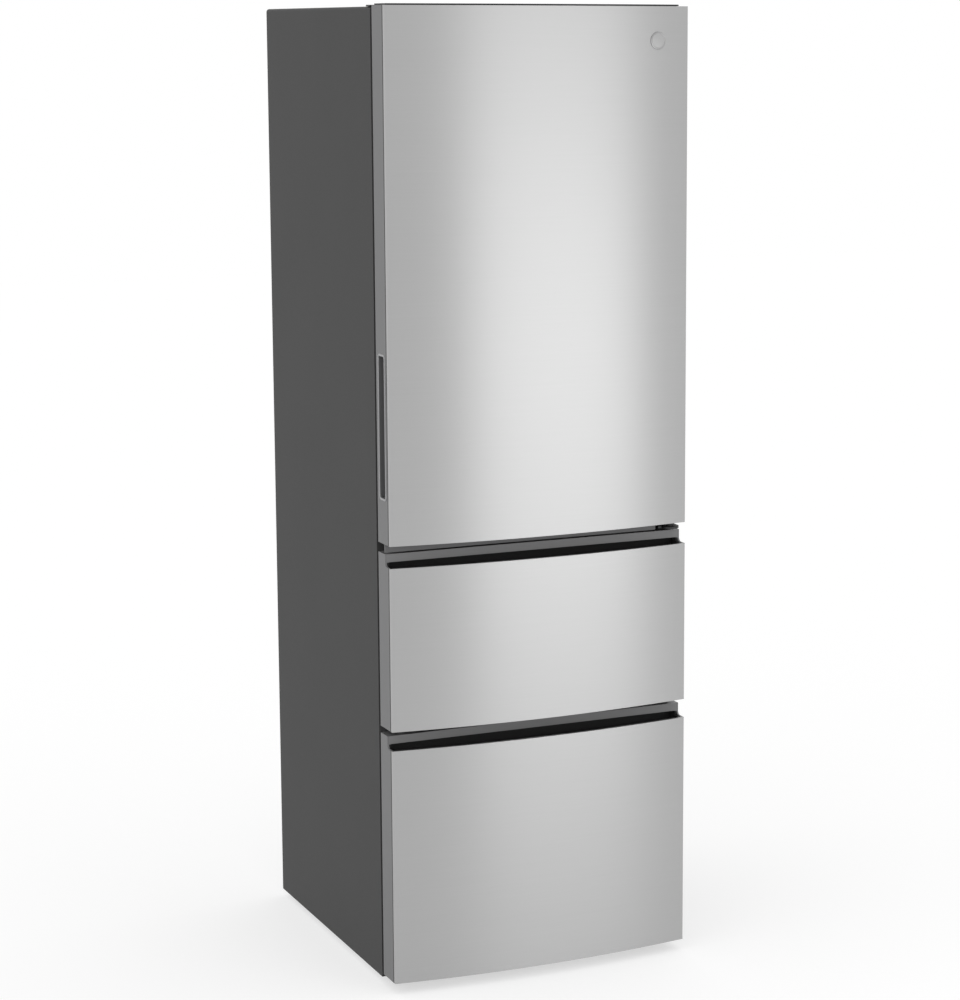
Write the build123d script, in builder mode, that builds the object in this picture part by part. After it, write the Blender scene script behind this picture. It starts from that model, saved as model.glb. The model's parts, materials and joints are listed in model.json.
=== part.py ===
from build123d import *
import os
from math import sqrt

# Bottom freezer refrigerator with one hinged door above two freezer drawers, all in millimetres.
# X runs to the viewer's right, Y to the back, Z up.
# The origin is on the floor, under the middle of the whole outline.

os.makedirs("parts", exist_ok=True)

# ---------------------------------------------------------------- driving sizes
# Casing and fronts
width = 594.0
case_height = 1784.0
case_depth = 578.0
foot_height = 14.0
crown = 21.0  # rise of the bowed steel fronts over the full width
front_edge = 59.0  # thickness of the door and drawer fronts at their sides
gasket_gap = 8.0  # between the casing and the closed fronts
spacer_depth = 4.0
case_radius = 6.0

# Levels of the fronts
lower_front_lift = 7.5
lower_skin_height = 441.5
upper_skin_height = 302.5
pull_rise = 22.5  # a drawer's top edge above its steel
drawer_gap = 13.0
door_gap = 18.0
cap_rise = 3.0
door_proud = 2.0  # of the door's top above the casing

# Walls
case_sheet = 1.0
pan_sheet = 1.2
skin_sheet = 1.2
frame_wall = 3.0
panel_wall = 2.0
liner_wall = 2.0
bin_wall = 2.5
side_insulation = 45.0
top_insulation = 50.0
rear_insulation = 60.0
fit = 0.3  # between faces that are fitted by hand
shaft_fit = 0.05
case_flange = 36.0

# Steel skins
hem_depth = 6.0
hem_groove = 1.2
skin_bend = 1.6
top_return = 6.0

# Gaskets
gasket_side_inset = 24.0
gasket_end_inset = 12.0
gasket_width = 14.0
gasket_thickness = 7.7
gasket_base = 3.0
gasket_bulb_inset = 2.5
seal_margin = 2.5  # of the sealing face beyond the gasket

# Drawer pulls
pull_setback = 25.0
lip_height = 15.0
lip_undercut = 20.0
pocket_depth = 40.0
pocket_floor = 6.0
pocket_inset = 9.0
pocket_end_wall = 4.0
pocket_radius = 8.0

# Door
door_lip_height = 15.0
door_lip_wall = 3.5
top_cap_depth = 20.0
bottom_cap_depth = 24.0
cap_margin = 4.5
handle_setback = 18.5
handle_width = 27.0
handle_height = 257.0
handle_rise = 212.0  # from the door's bottom to the middle of its handle
handle_depth = 36.0
handle_undercut = 8.0
handle_radius = 5.0
cup_wall = 2.0
dyke_clearance = 12.0
dyke_width = 18.0
dyke_reach = 35.0  # into the compartment
dyke_radius = 10.0

# Hinges
hinge_side = 22.0  # axis to the door's side
hinge_setback = 21.0  # axis to the plane of the steel's front corners
top_pin_radius = 4.0
top_pin_length = 16.0
middle_pin_radius = 5.0
middle_pin_length = 20.0
hinge_arm = 24.0
top_plate_gap = 0.6
top_foot_length = 60.0
top_foot_width = 42.0
middle_plate = 4.0
middle_plate_lift = 5.5
middle_flange_width = 56.0
middle_flange_sheet = 3.0
middle_flange_height = 20.0
bush_radius = 8.0
hinge_screw_radius = 2.5
hinge_screw_head = 5.0

# Door bins
bin_reach = 100.0
bin_side_gap = 6.5
bin_shares = (0.0, 0.379, 0.69)  # of the height inside the door's raised ring
bin_floor_gap = 5.0
bin_heights = (110.0, 85.0, 75.0)
bin_lean = 14.0
lug_height = 8.0
lug_depth = 30.0
boss_height = 22.0

# Shelves
shelf_shares = (0.82, 0.632, 0.4385)  # of the compartment's height
cover_headroom = 17.0  # over the crisper
glass_thickness = 4.0
shelf_front_gap = 110.0  # from the casing's front to the shelves
shelf_rear_gap = 30.0
ledge_width = 10.0
ledge_height = 8.0
ledge_start = 27.0
trim_height = 14.0
trim_depth = 20.0
trim_lip = 5.0
trim_wall = 3.0

# Crisper
crisper_height = 186.0
crisper_floor_gap = 10.0
crisper_side_gap = 36.0
runner_wall = 2.5
crisper_front_gap = 122.0
crisper_rear_gap = 31.0
crisper_flange = 10.0
crisper_flange_wall = 3.0
crisper_flange_drop = 8.0
crisper_grip = 26.0
liner_radius = 12.0

# Ceiling console
console_width = 260.0
console_depth = 90.0
console_height = 24.0
console_wall = 2.5
console_radius = 6.0
console_setback = 107.0
button_width = 34.0
button_height = 10.0
button_depth = 9.0
button_travel = 1.5
button_offset = 45.0
lens_width = 180.0
lens_depth = 34.0
lens_height = 6.0

# Air duct cover
duct_width = 150.0
duct_depth = 20.0
duct_floor_gap = 42.0
duct_ceiling_gap = 48.0
duct_slot = 6.0
duct_slot_length = 90.0
duct_slot_pitch = 72.0
duct_radius = 8.0

# Machine compartment, behind and below the freezer
machine_depth = 170.0
machine_height = 190.0
step_insulation = 45.0
base_plate = 2.0
base_lip = 12.0
roller_radius = 20.0
roller_width = 18.0
roller_inset = 57.0
roller_back = 60.0
axle_radius = 3.0
ear_sheet = 2.0
ear_length = 20.0
ear_rise = 14.0
roller_gap = 2.0
foot_inset = 47.0
foot_back = 40.0
foot_radius = 16.0
foot_pad = 9.0
stud_radius = 4.0
stud_reach = 30.0
leg_bush_radius = 8.0
leg_bush_height = 15.0

# Compressor and condenser
compressor_share = 0.281  # of the width, from the side to its axis
compressor_radius = 60.0
compressor_height = 146.0
compressor_dome = 20.0
compressor_seam = 3.0
compressor_plate = (176.0, 116.0, 3.0)
terminal_box = (24.0, 46.0, 50.0)
boss_radius = 9.0
boss_rise = 12.0
boss_spacing = (150.0, 88.0)
fan_mount_share = 0.0993  # of the width, from the fan to the condenser
fan_plate = 3.0
condenser_fan_radius = 52.0
condenser_fan_length = 18.0
condenser_blades = 6
condenser_motor_radius = 22.0
condenser_motor_length = 28.0
condenser_passes = 4
condenser_depth = 66.0
fan_opening_gap = 4.0
condenser_share = 0.244  # of the width
condenser_inset_share = 0.138
condenser_fins = 9
condenser_tube = 3.0
condenser_pitch = 36.0
fin_sheet = 0.8
louvre_width = 5.0
louvre_height = 52.0
louvre_pitch = 15.0
louvre_count = 13
gland_radius = 9.0
gland_bore = 5.5
cover_sheet = 1.5
cover_screw_head = 4.0
cover_screw_rise = 2.0

# Freezer
evaporator_depth = 75.0
evaporator_side_gap = 82.0
evaporator_floor_gap = 41.0
evaporator_passes = 5
evaporator_pitch = 36.0
evaporator_tube = 4.0
evaporator_fins = 10
evaporator_fan_radius = 44.0
evaporator_fan_drop = 155.0  # from the freezer's ceiling to its axis
evaporator_fan_gap = 14.0
evaporator_fan_length = 14.0
evaporator_blades = 5
fan_sheet = 1.5
fan_root = 1.0  # of a blade inside its hub
fan_tip_gap = 2.0
pin_gap = 1.0  # at the blind end of a bore
motor_gap = 2.0
motor_radius = 17.0
motor_length = 26.0
motor_shaft = 2.0
motor_arm = 8.0
grille_slot = 6.0
grille_pitch = 13.0
rail_height = 30.0
rail_depth = 12.0
rail_sheet = 1.5
rail_rear_gap = 6.0
rail_start = 9.0
runner_gap = 0.4
runner_web = 4.0
rail_step_gap = 13.0
rail_crossrail_gap = 39.0
bin_rail_gap = 30.0  # from the liner to a bin's side
plug_reach = 4.0  # of a drawer's inner panel past the casing's front
plug_margin = 2.5
bin_rear_gap = 17.0
bin_headroom = (23.0, 28.0)  # over the lower and the upper bin
freezer_bin_floor_gap = 12.0
freezer_bin_grip = (130.0, 24.0)
bin_radius = 10.0
bin_flange = 16.0
bracket_margin = 12.0
bracket_sheet = 2.0
crossrail_depth = 30.0
crossrail_sheet = 2.0

# Back of the casing
bead_width = 24.0
bead_height = 1.5
bead_share = 0.236  # of the width, from bead to bead
spacer_radius = 18.0
spacer_drop = 90.0
spacer_share = 0.606  # of the width, between the two
front_trim_depth = 20.0
front_trim_height = 2.8

# ---------------------------------------------------------------- planes and levels worked out from them
half_width = width / 2
depth = crown + front_edge + gasket_gap + case_depth + spacer_depth
y_crown = -depth / 2
y_corner = y_crown + crown
y_front_back = y_corner + front_edge
y_case = y_front_back + gasket_gap
y_back = y_case + case_depth
bow_radius = (half_width**2 + crown**2) / (2 * crown)
y_bow = y_crown + bow_radius

z_case = foot_height
z_top = z_case + case_height
lower_bottom = z_case + lower_front_lift
lower_top = lower_bottom + lower_skin_height
lower_pull_top = lower_top + pull_rise
upper_bottom = lower_pull_top + drawer_gap
upper_top = upper_bottom + upper_skin_height
upper_pull_top = upper_top + pull_rise
door_bottom = upper_pull_top + door_gap
door_top = z_top + door_proud

seal = gasket_end_inset + gasket_width + seal_margin
inner_half = half_width - side_insulation
y_rear = y_back - rear_insulation
freezer_floor = lower_bottom + seal
freezer_ceiling = upper_pull_top - seal
fridge_floor = door_bottom + seal
fridge_ceiling = z_top - top_insulation
crossrail_low = lower_pull_top - seal
crossrail_high = upper_bottom + seal
y_machine = y_back - machine_depth
z_machine = z_case + machine_height
y_step = y_machine - step_insulation
z_step = z_machine + step_insulation
y_evaporator = y_rear - evaporator_depth

hinge_x = half_width - hinge_side
hinge_y = y_corner + hinge_setback
frame_half = half_width - frame_wall
skin_inner = skin_sheet + fit
y_panel = y_front_back - panel_wall
y_hem = y_corner + hem_depth + hem_groove
y_pull = y_corner + pull_setback


# ---------------------------------------------------------------- shared profiles
def front_y(x, inset):
    """Depth of the bowed front at x, measured that far inside its outer face."""
    return y_bow - sqrt((bow_radius - inset) ** 2 - x**2)


def bowed_face(inset, half, back):
    """Plan of a piece behind the bowed front: an arc in front, straight sides and back."""
    with BuildSketch() as plan:
        with BuildLine():
            side = front_y(half, inset)
            bow = ThreePointArc((-half, side), (0, front_y(0, inset)), (half, side))
            Polyline(bow @ 1, (half, back), (-half, back), bow @ 0)
        make_face()
    return plan.sketch


def sheet_face(points, thickness):
    """Section of a bent sheet: a line of points thickened to its left, with mitred bends."""
    path = [Vector(*point) for point in points]
    legs = [(b - a).normalized() for a, b in zip(path, path[1:])]
    normals = [Vector(-leg.Y, leg.X) for leg in legs]
    far_side = []
    for before, after, point in zip([normals[0]] + normals, normals + [normals[-1]], path):
        mitre = (before + after).normalized()
        far_side.append(point + mitre * (thickness / mitre.dot(before)))
    with BuildSketch() as section:
        with BuildLine():
            Polyline(*path, *reversed(far_side), close=True)
        make_face()
    return section.sketch


def front_plane(y):
    """A sketch plane that faces the viewer at depth y. A negative extrusion goes to the back."""
    return Plane.XZ.offset(-y)


def span_box(low, high, mode=Mode.ADD):
    """A plain block between two opposite corners."""
    with Locations(tuple((a + b) / 2 for a, b in zip(low, high))):
        Box(*(b - a for a, b in zip(low, high)), mode=mode)


def rectangle_between(low, high, mode=Mode.ADD, radius=0.0):
    """A rectangle between two corners of the current sketch, with rounded corners if asked."""
    with Locations(((low[0] + high[0]) / 2, (low[1] + high[1]) / 2)):
        if radius > 0:
            RectangleRounded(high[0] - low[0], high[1] - low[1], radius, mode=mode)
        else:
            Rectangle(high[0] - low[0], high[1] - low[1], mode=mode)


def save(piece, name):
    """Labels a finished piece and writes it."""
    piece.part.label = name
    export_step(piece.part, f"parts/{name}.step")


def arched_face(half, low, high, radius):
    """A standing rectangle with its two top corners rounded."""
    with BuildSketch() as outline:
        rectangle_between((-half, low), (half, high))
        fillet(outline.vertices().group_by(Axis.Y)[-1], radius)
    return outline.sketch


# ---------------------------------------------------------------- casing
with BuildPart() as cabinet_wrapper:
    with BuildSketch(front_plane(y_case)):
        add(arched_face(half_width, z_case, z_top, case_radius))
        add(
            arched_face(half_width - case_sheet, z_case, z_top - case_sheet, case_radius - case_sheet),
            mode=Mode.SUBTRACT,
        )
    extrude(amount=-case_depth)
    with BuildSketch(front_plane(y_case)):
        add(arched_face(half_width, z_case, z_top, case_radius))
        rectangle_between(
            (-half_width + case_flange, z_case),
            (half_width - case_flange, z_top - case_flange),
            Mode.SUBTRACT,
        )
    extrude(amount=-case_sheet)
save(cabinet_wrapper, "cabinet_wrapper")

with BuildPart() as back_panel:
    panel_half = half_width - case_sheet
    with BuildSketch(front_plane(y_back)):
        add(arched_face(panel_half, z_machine + pan_sheet, z_top - case_sheet, case_radius - case_sheet))
    extrude(amount=case_sheet)
    with BuildSketch(front_plane(y_back)):
        with Locations((0, (z_machine + z_top) / 2)):
            with GridLocations(width * bead_share, 1, 3, 1):
                SlotOverall(z_top - z_machine - 2 * top_insulation, bead_width, rotation=90)
    extrude(amount=-bead_height, taper=45)
save(back_panel, "back_panel")

with BuildPart() as base_pan:
    with BuildSketch(Plane.YZ):
        pan_line = [
            (y_case, z_case + case_flange - ledge_width),
            (y_case, z_case),
            (y_machine, z_case),
            (y_machine, z_machine),
            (y_back - case_sheet, z_machine),
        ]
        add(sheet_face(pan_line, pan_sheet))
    extrude(amount=half_width - case_sheet, both=True)
    for side in (-1, 1):
        with BuildSketch(front_plane(y_case)):
            with Locations((side * (half_width - case_flange / 2), z_case)):
                Rectangle(case_flange, 2 * case_flange)
        extrude(amount=-pan_sheet, mode=Mode.SUBTRACT)
    leg_places = [(side * (half_width - foot_inset), y_case + foot_back) for side in (-1, 1)]
    with BuildSketch(Plane.XY.offset(z_case)):
        with Locations(*leg_places):
            Circle(leg_bush_radius)
    extrude(amount=leg_bush_height)
    with BuildSketch(Plane.XY.offset(z_case)):
        with Locations(*leg_places):
            Circle(stud_radius + shaft_fit)
    extrude(amount=leg_bush_height, mode=Mode.SUBTRACT)
save(base_pan, "base_pan")


def freezer_section(grow):
    """Side view of the freezer compartment, stepped over the machine compartment, grown outwards."""
    with BuildSketch() as section:
        with BuildLine():
            Polyline(
                (y_case, freezer_floor - grow),
                (y_step + grow, freezer_floor - grow),
                (y_step + grow, z_step - grow),
                (y_rear + grow, z_step - grow),
                (y_rear + grow, freezer_ceiling + grow),
                (y_case, freezer_ceiling + grow),
                close=True,
            )
        make_face()
    return section.sketch


def fridge_face(grow):
    """Front view of the fresh food compartment, grown outwards."""
    with BuildSketch() as outline:
        rectangle_between(
            (-inner_half - grow, fridge_floor - grow),
            (inner_half + grow, fridge_ceiling + grow),
            radius=liner_radius + grow,
        )
    return outline.sketch


with BuildPart() as cabinet_foam:
    foam_front = y_case + pan_sheet
    with BuildSketch(front_plane(foam_front)):
        add(
            arched_face(
                half_width - case_sheet, z_case + pan_sheet, z_top - case_sheet, case_radius - case_sheet
            )
        )
    extrude(amount=-(y_back - case_sheet - foam_front))
    with BuildSketch(front_plane(y_case)):
        add(fridge_face(liner_wall))
    extrude(amount=-(y_rear + liner_wall - y_case), mode=Mode.SUBTRACT)
    with BuildSketch(Plane.YZ):
        add(freezer_section(liner_wall))
    extrude(amount=inner_half + liner_wall, both=True, mode=Mode.SUBTRACT)
    span_box(
        (-half_width, y_machine - pan_sheet, z_case),
        (half_width, y_back, z_machine + pan_sheet),
        Mode.SUBTRACT,
    )
    with BuildSketch(Plane.XY.offset(z_case)):
        with Locations(*leg_places):
            Circle(leg_bush_radius)
    extrude(amount=stud_reach + leg_bush_height, mode=Mode.SUBTRACT)
save(cabinet_foam, "cabinet_foam")

# ---------------------------------------------------------------- liners and cross rails
crisper_top = fridge_floor + crisper_floor_gap + crisper_height
cover_level = crisper_top + cover_headroom
fridge_height = fridge_ceiling - fridge_floor
pane_levels = [fridge_floor + share * fridge_height for share in shelf_shares] + [cover_level]
ledge_levels = [level - glass_thickness for level in pane_levels]
crisper_rail = crisper_top - crisper_flange_drop - crisper_flange_wall - fit
crisper_half = inner_half - crisper_side_gap
ledge_front = y_case + shelf_front_gap + ledge_start

with BuildPart() as fresh_food_liner:
    with BuildSketch(front_plane(y_case)):
        add(fridge_face(liner_wall))
    extrude(amount=-(y_rear + liner_wall - y_case))
    with BuildSketch(front_plane(y_case)):
        rectangle_between(
            (-half_width + case_flange, fridge_floor), (half_width - case_flange, z_top - case_flange)
        )
    extrude(amount=-pan_sheet)
    with BuildSketch(front_plane(y_case)):
        add(fridge_face(0))
    extrude(amount=-(y_rear - y_case), mode=Mode.SUBTRACT)
    for level in ledge_levels:
        for side in (-1, 1):
            with BuildSketch(front_plane(ledge_front)):
                with BuildLine():
                    wall_x = side * inner_half
                    tip_x = side * (inner_half - ledge_width)
                    Polyline(
                        (wall_x, level),
                        (tip_x, level),
                        (tip_x, level - ledge_height / 2),
                        (wall_x, level - ledge_height - ledge_width / 2),
                        close=True,
                    )
                make_face()
            extrude(amount=-(y_rear - ledge_front))
save(fresh_food_liner, "fresh_food_liner")

with BuildPart() as freezer_liner:
    with BuildSketch(Plane.YZ):
        add(freezer_section(liner_wall))
    extrude(amount=inner_half + liner_wall, both=True)
    with BuildSketch(front_plane(y_case)):
        rectangle_between(
            (-half_width + case_flange, z_case + case_flange - ledge_width),
            (half_width - case_flange, freezer_ceiling),
        )
    extrude(amount=-pan_sheet)
    with BuildSketch(Plane.YZ):
        add(freezer_section(0))
    extrude(amount=inner_half, both=True, mode=Mode.SUBTRACT)
save(freezer_liner, "freezer_liner")

with BuildPart() as front_crossrails:
    with BuildSketch(front_plane(y_case)):
        rectangle_between(
            (-half_width + case_flange, freezer_ceiling + liner_wall),
            (half_width - case_flange, fridge_floor - liner_wall),
        )
    extrude(amount=-pan_sheet)
    with BuildSketch(Plane.YZ):
        rail_line = [
            (y_case + crossrail_depth, crossrail_low),
            (y_case, crossrail_low),
            (y_case, crossrail_high),
            (y_case + crossrail_depth, crossrail_high),
        ]
        add(sheet_face(list(reversed(rail_line)), crossrail_sheet))
    extrude(amount=inner_half, both=True)
save(front_crossrails, "front_crossrails")

# ---------------------------------------------------------------- shelves
shelf_front = y_case + shelf_front_gap
shelf_back = y_rear - shelf_rear_gap
shelf_half = inner_half - fit
pane_front = shelf_front + trim_wall
pane_back = shelf_back - trim_wall


def shelf_trim_pair(level):
    """The moulded channel along a pane's front edge and the fence along its back edge."""
    with BuildPart() as trims:
        with BuildSketch(Plane.YZ) as front_section:
            rectangle_between(
                (shelf_front, level - glass_thickness - trim_height + trim_wall),
                (shelf_front + trim_depth, level + trim_wall),
            )
            fillet(front_section.vertices().group_by(Axis.X)[0], trim_wall - fit)
            rectangle_between(
                (pane_front, level - glass_thickness), (shelf_front + trim_depth, level), Mode.SUBTRACT
            )
            rectangle_between(
                (pane_front, level - glass_thickness - trim_height),
                (shelf_front + trim_depth, level - glass_thickness - trim_wall),
                Mode.SUBTRACT,
            )
        extrude(amount=shelf_half, both=True)
        with BuildSketch(Plane.YZ):
            rectangle_between((pane_back - trim_lip, level), (shelf_back, level + trim_height))
            rectangle_between((pane_back, level - glass_thickness), (shelf_back, level))
            rectangle_between(
                (pane_back - trim_lip, level + trim_wall), (pane_back, level + trim_height), Mode.SUBTRACT
            )
        extrude(amount=shelf_half, both=True)
    return trims


with BuildPart() as shelf_panes:
    for level in ledge_levels:
        with BuildSketch(Plane.XY.offset(level)):
            rectangle_between((-shelf_half, pane_front), (shelf_half, pane_back))
        extrude(amount=glass_thickness)
save(shelf_panes, "shelf_panes")

with BuildPart() as shelf_trims:
    for level in pane_levels:
        add(shelf_trim_pair(level).part)
    for side in (-1, 1):
        with BuildSketch(front_plane(y_case + crisper_front_gap)):
            runner = [
                (side * (crisper_half + fit), crisper_rail),
                (side * (crisper_half + crisper_flange + 2 * fit), crisper_rail),
                (side * (crisper_half + crisper_flange + 2 * fit), cover_level - glass_thickness),
            ]
            add(sheet_face(runner[::-side], runner_wall))
        extrude(amount=-(pane_back - y_case - crisper_front_gap))
save(shelf_trims, "shelf_trims")

# ---------------------------------------------------------------- crisper
crisper_front = y_case + crisper_front_gap
crisper_back = y_rear - crisper_rear_gap

with BuildPart() as crisper_bin:
    with BuildSketch(Plane.XY.offset(crisper_top)):
        rectangle_between((-crisper_half, crisper_front), (crisper_half, crisper_back), radius=liner_radius)
    extrude(amount=-crisper_height, taper=2)
    with BuildSketch(Plane.XY.offset(crisper_top)):
        rectangle_between(
            (-crisper_half + bin_wall, crisper_front + bin_wall),
            (crisper_half - bin_wall, crisper_back - bin_wall),
            radius=liner_radius - bin_wall,
        )
    extrude(amount=-(crisper_height - bin_wall), taper=2, mode=Mode.SUBTRACT)
    flange_low = crisper_top - crisper_flange_drop - crisper_flange_wall
    for side in (-1, 1):
        inner_edge = side * (crisper_half - bin_wall)
        outer_edge = side * (crisper_half + crisper_flange)
        span_box(
            (min(inner_edge, outer_edge), crisper_front + liner_radius, flange_low),
            (max(inner_edge, outer_edge), crisper_back - liner_radius, flange_low + crisper_flange_wall),
        )
    with BuildSketch(Plane.YZ) as grip:
        with BuildLine():
            Polyline(
                (crisper_front + bin_wall, crisper_top),
                (crisper_front - bin_wall, crisper_top),
                (crisper_front - bin_wall, crisper_top - crisper_grip),
                (crisper_front, crisper_top - crisper_grip),
                (crisper_front + 2 * bin_wall, crisper_top - crisper_grip - bin_wall),
                close=True,
            )
        make_face()
    extrude(amount=crisper_half - 2 * liner_radius, both=True)
save(crisper_bin, "crisper_bin")

# ---------------------------------------------------------------- ceiling console, lamp and buttons
console_front = y_case + console_setback
console_back = console_front + console_depth
console_low = fridge_ceiling - console_height
button_level = console_low + console_height / 2
button_plane = front_plane(console_front)

with BuildPart() as ceiling_console:
    with BuildSketch(Plane.YZ) as console_section:
        rectangle_between((console_front, console_low), (console_back, fridge_ceiling))
        fillet(console_section.vertices().group_by(Axis.Y)[0], console_radius)
    extrude(amount=console_width / 2, both=True)
    span_box(
        (-console_width / 2 + console_wall, console_front + console_wall, console_low + console_wall),
        (console_width / 2 - console_wall, console_back - console_wall, fridge_ceiling),
        Mode.SUBTRACT,
    )
    with BuildSketch(button_plane):
        with Locations(*((side * button_offset, button_level) for side in (-1, 1))):
            Rectangle(button_width + 2 * fit, button_height + 2 * fit)
    extrude(amount=-console_wall, mode=Mode.SUBTRACT)
    with BuildSketch(Plane.XY.offset(console_low)):
        with Locations((0, (console_front + console_back) / 2)):
            Rectangle(lens_width + 2 * fit, lens_depth + 2 * fit)
    extrude(amount=console_wall, mode=Mode.SUBTRACT)
save(ceiling_console, "ceiling_console")

with BuildPart() as lamp_lens:
    with BuildSketch(Plane.XY.offset(console_low - console_wall / 2)):
        with Locations((0, (console_front + console_back) / 2)):
            RectangleRounded(lens_width, lens_depth, console_wall)
    extrude(amount=lens_height)
    with BuildSketch(Plane.XY.offset(console_low + console_wall)):
        with Locations((0, (console_front + console_back) / 2)):
            Rectangle(lens_width + 4 * console_wall, lens_depth + 2 * console_wall)
    extrude(amount=console_wall)
save(lamp_lens, "lamp_lens")


def console_button(x):
    """A push button that stands proud of the console by more than its travel."""
    proud = button_travel + fit
    with BuildPart() as button:
        with BuildSketch(front_plane(console_front - proud)):
            with Locations((x, button_level)):
                RectangleRounded(button_width, button_height, button_height / 4)
        extrude(amount=-button_depth)
        fillet(button.faces().sort_by(Axis.Y)[0].edges(), button_travel / 3)
    return button


for name, side in (("temperature_button", -1), ("fast_cool_button", 1)):
    save(console_button(side * button_offset), name)

# ---------------------------------------------------------------- air duct cover
with BuildPart() as air_duct_cover:
    duct_front = y_rear - duct_depth
    duct_low = cover_level + duct_floor_gap
    duct_high = fridge_ceiling - duct_ceiling_gap
    duct_middle = (duct_low + duct_high) / 2
    duct_height = duct_high - duct_low
    with BuildSketch(front_plane(y_rear)):
        with Locations((0, duct_middle)):
            RectangleRounded(duct_width, duct_height, duct_radius)
    extrude(amount=duct_depth, taper=10)
    with BuildSketch(front_plane(y_rear)):
        with Locations((0, duct_middle)):
            hollow = (duct_width - 2 * panel_wall, duct_height - 2 * panel_wall)
            RectangleRounded(*hollow, duct_radius - panel_wall)
    extrude(amount=duct_depth - panel_wall, taper=10, mode=Mode.SUBTRACT)
    with BuildSketch(front_plane(duct_front)):
        with Locations((0, duct_middle)):
            with GridLocations(1, duct_slot_pitch, 1, int(duct_height / duct_slot_pitch)):
                with GridLocations(1, 2 * duct_slot, 1, 3):
                    SlotOverall(duct_slot_length, duct_slot)
    extrude(amount=-panel_wall, mode=Mode.SUBTRACT)
save(air_duct_cover, "air_duct_cover")


# ---------------------------------------------------------------- fans and coils
def fan_rotor(plane, radius, hub_radius, bore, length, blades):
    """A moulded axial fan about the plane's normal, with lofted, twisted blades."""
    with BuildPart() as blade:
        for reach, chord, pitch in ((hub_radius - fan_root, 1.1 * length, 50), (radius, 1.6 * length, 28)):
            with BuildSketch(Plane(origin=(reach, 0, 0), x_dir=(0, 1, 0), z_dir=(1, 0, 0))):
                Rectangle(chord, fan_sheet, rotation=pitch)
        loft()
    with BuildPart(plane) as rotor:
        Cylinder(hub_radius, length)
        with PolarLocations(0, blades):
            add(blade.part)
        Cylinder(bore, length, mode=Mode.SUBTRACT)
    return rotor


def finned_coil(y, x_low, x_high, z_low, passes, pitch, tube, fins, fin_depth):
    """A serpentine tube in an upright plane at depth y, pressed through a row of upright fins."""
    turns = []
    for row in range(passes):
        ends = (x_low, x_high) if row % 2 == 0 else (x_high, x_low)
        turns += [(x, z_low + row * pitch) for x in ends]
    x_middle = (x_low + x_high) / 2
    rise = (passes - 1) * pitch
    with BuildPart() as finned:
        with BuildLine(front_plane(y)) as route:
            FilletPolyline(*turns, radius=pitch * 0.45)
        with BuildSketch(Plane(origin=route.line @ 0, z_dir=route.line % 0)):
            Circle(tube)
        sweep()
        with Locations((x_middle, y, z_low + rise / 2)):
            with GridLocations((x_high - x_low - pitch) / (fins - 1), 1, fins, 1):
                Box(fin_sheet, fin_depth, rise + pitch)
    return finned


# ---------------------------------------------------------------- freezer fittings
evaporator_front = y_evaporator + bin_wall
evaporator_half = inner_half - evaporator_side_gap
evaporator_low = z_step + evaporator_floor_gap
evaporator_fan_level = freezer_ceiling - evaporator_fan_drop
fan_middle = evaporator_front + evaporator_fan_gap
motor_front = fan_middle + evaporator_fan_length / 2 + motor_gap
shroud_radius = evaporator_fan_radius + grille_slot

with BuildPart() as freezer_back_panel:
    with BuildSketch(front_plane(y_evaporator)):
        rectangle_between((-inner_half + fit, z_step + fit), (inner_half - fit, freezer_ceiling - fit))
    extrude(amount=-bin_wall)
    with BuildSketch(front_plane(y_evaporator)):
        slot_rows = int(evaporator_fan_radius / grille_pitch)
        for row in range(-slot_rows, slot_rows + 1):
            chord = 2 * sqrt(evaporator_fan_radius**2 - (row * grille_pitch) ** 2)
            with Locations((0, evaporator_fan_level + row * grille_pitch)):
                SlotOverall(chord, grille_slot)
        with Locations((0, z_step + 2 * grille_pitch)):
            with GridLocations(4 * grille_pitch, grille_pitch, 7, 2):
                SlotOverall(3 * grille_pitch, grille_slot)
    extrude(amount=-bin_wall, mode=Mode.SUBTRACT)
    with BuildSketch(front_plane(y_evaporator)):
        with Locations((0, evaporator_fan_level)):
            Circle(shroud_radius + grille_slot)
            Circle(shroud_radius, mode=Mode.SUBTRACT)
    extrude(amount=panel_wall)
save(freezer_back_panel, "freezer_back_panel")

with BuildPart() as evaporator_fan_motor:
    with BuildSketch(front_plane(motor_front)):
        with Locations((0, evaporator_fan_level)):
            Circle(motor_radius)
    extrude(amount=-motor_length)
    with BuildSketch(front_plane(motor_front)):
        with Locations((0, evaporator_fan_level)):
            with PolarLocations(shroud_radius / 2, 3, start_angle=90):
                Rectangle(shroud_radius + motor_arm, motor_arm)
    extrude(amount=-panel_wall)
    with BuildSketch(front_plane(evaporator_front)):
        with Locations((0, evaporator_fan_level)):
            with PolarLocations(shroud_radius, 3, start_angle=90):
                Rectangle(motor_arm, motor_arm)
    extrude(amount=-(motor_front + panel_wall - evaporator_front))
    with BuildSketch(front_plane(motor_front)):
        with Locations((0, evaporator_fan_level)):
            Circle(motor_shaft)
    extrude(amount=motor_gap + evaporator_fan_length)
save(evaporator_fan_motor, "evaporator_fan_motor")

evaporator_fan = fan_rotor(
    Plane(origin=(0, fan_middle, evaporator_fan_level), x_dir=(1, 0, 0), z_dir=(0, 1, 0)),
    evaporator_fan_radius - fan_tip_gap,
    motor_radius * 0.7,
    motor_shaft + shaft_fit,
    evaporator_fan_length,
    evaporator_blades,
)
save(evaporator_fan, "evaporator_fan")

evaporator = finned_coil(
    (evaporator_front + y_rear) / 2,
    -evaporator_half,
    evaporator_half,
    evaporator_low,
    evaporator_passes,
    evaporator_pitch,
    evaporator_tube,
    evaporator_fins,
    y_rear - evaporator_front - 2 * fit,
)
save(evaporator, "evaporator")

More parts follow.
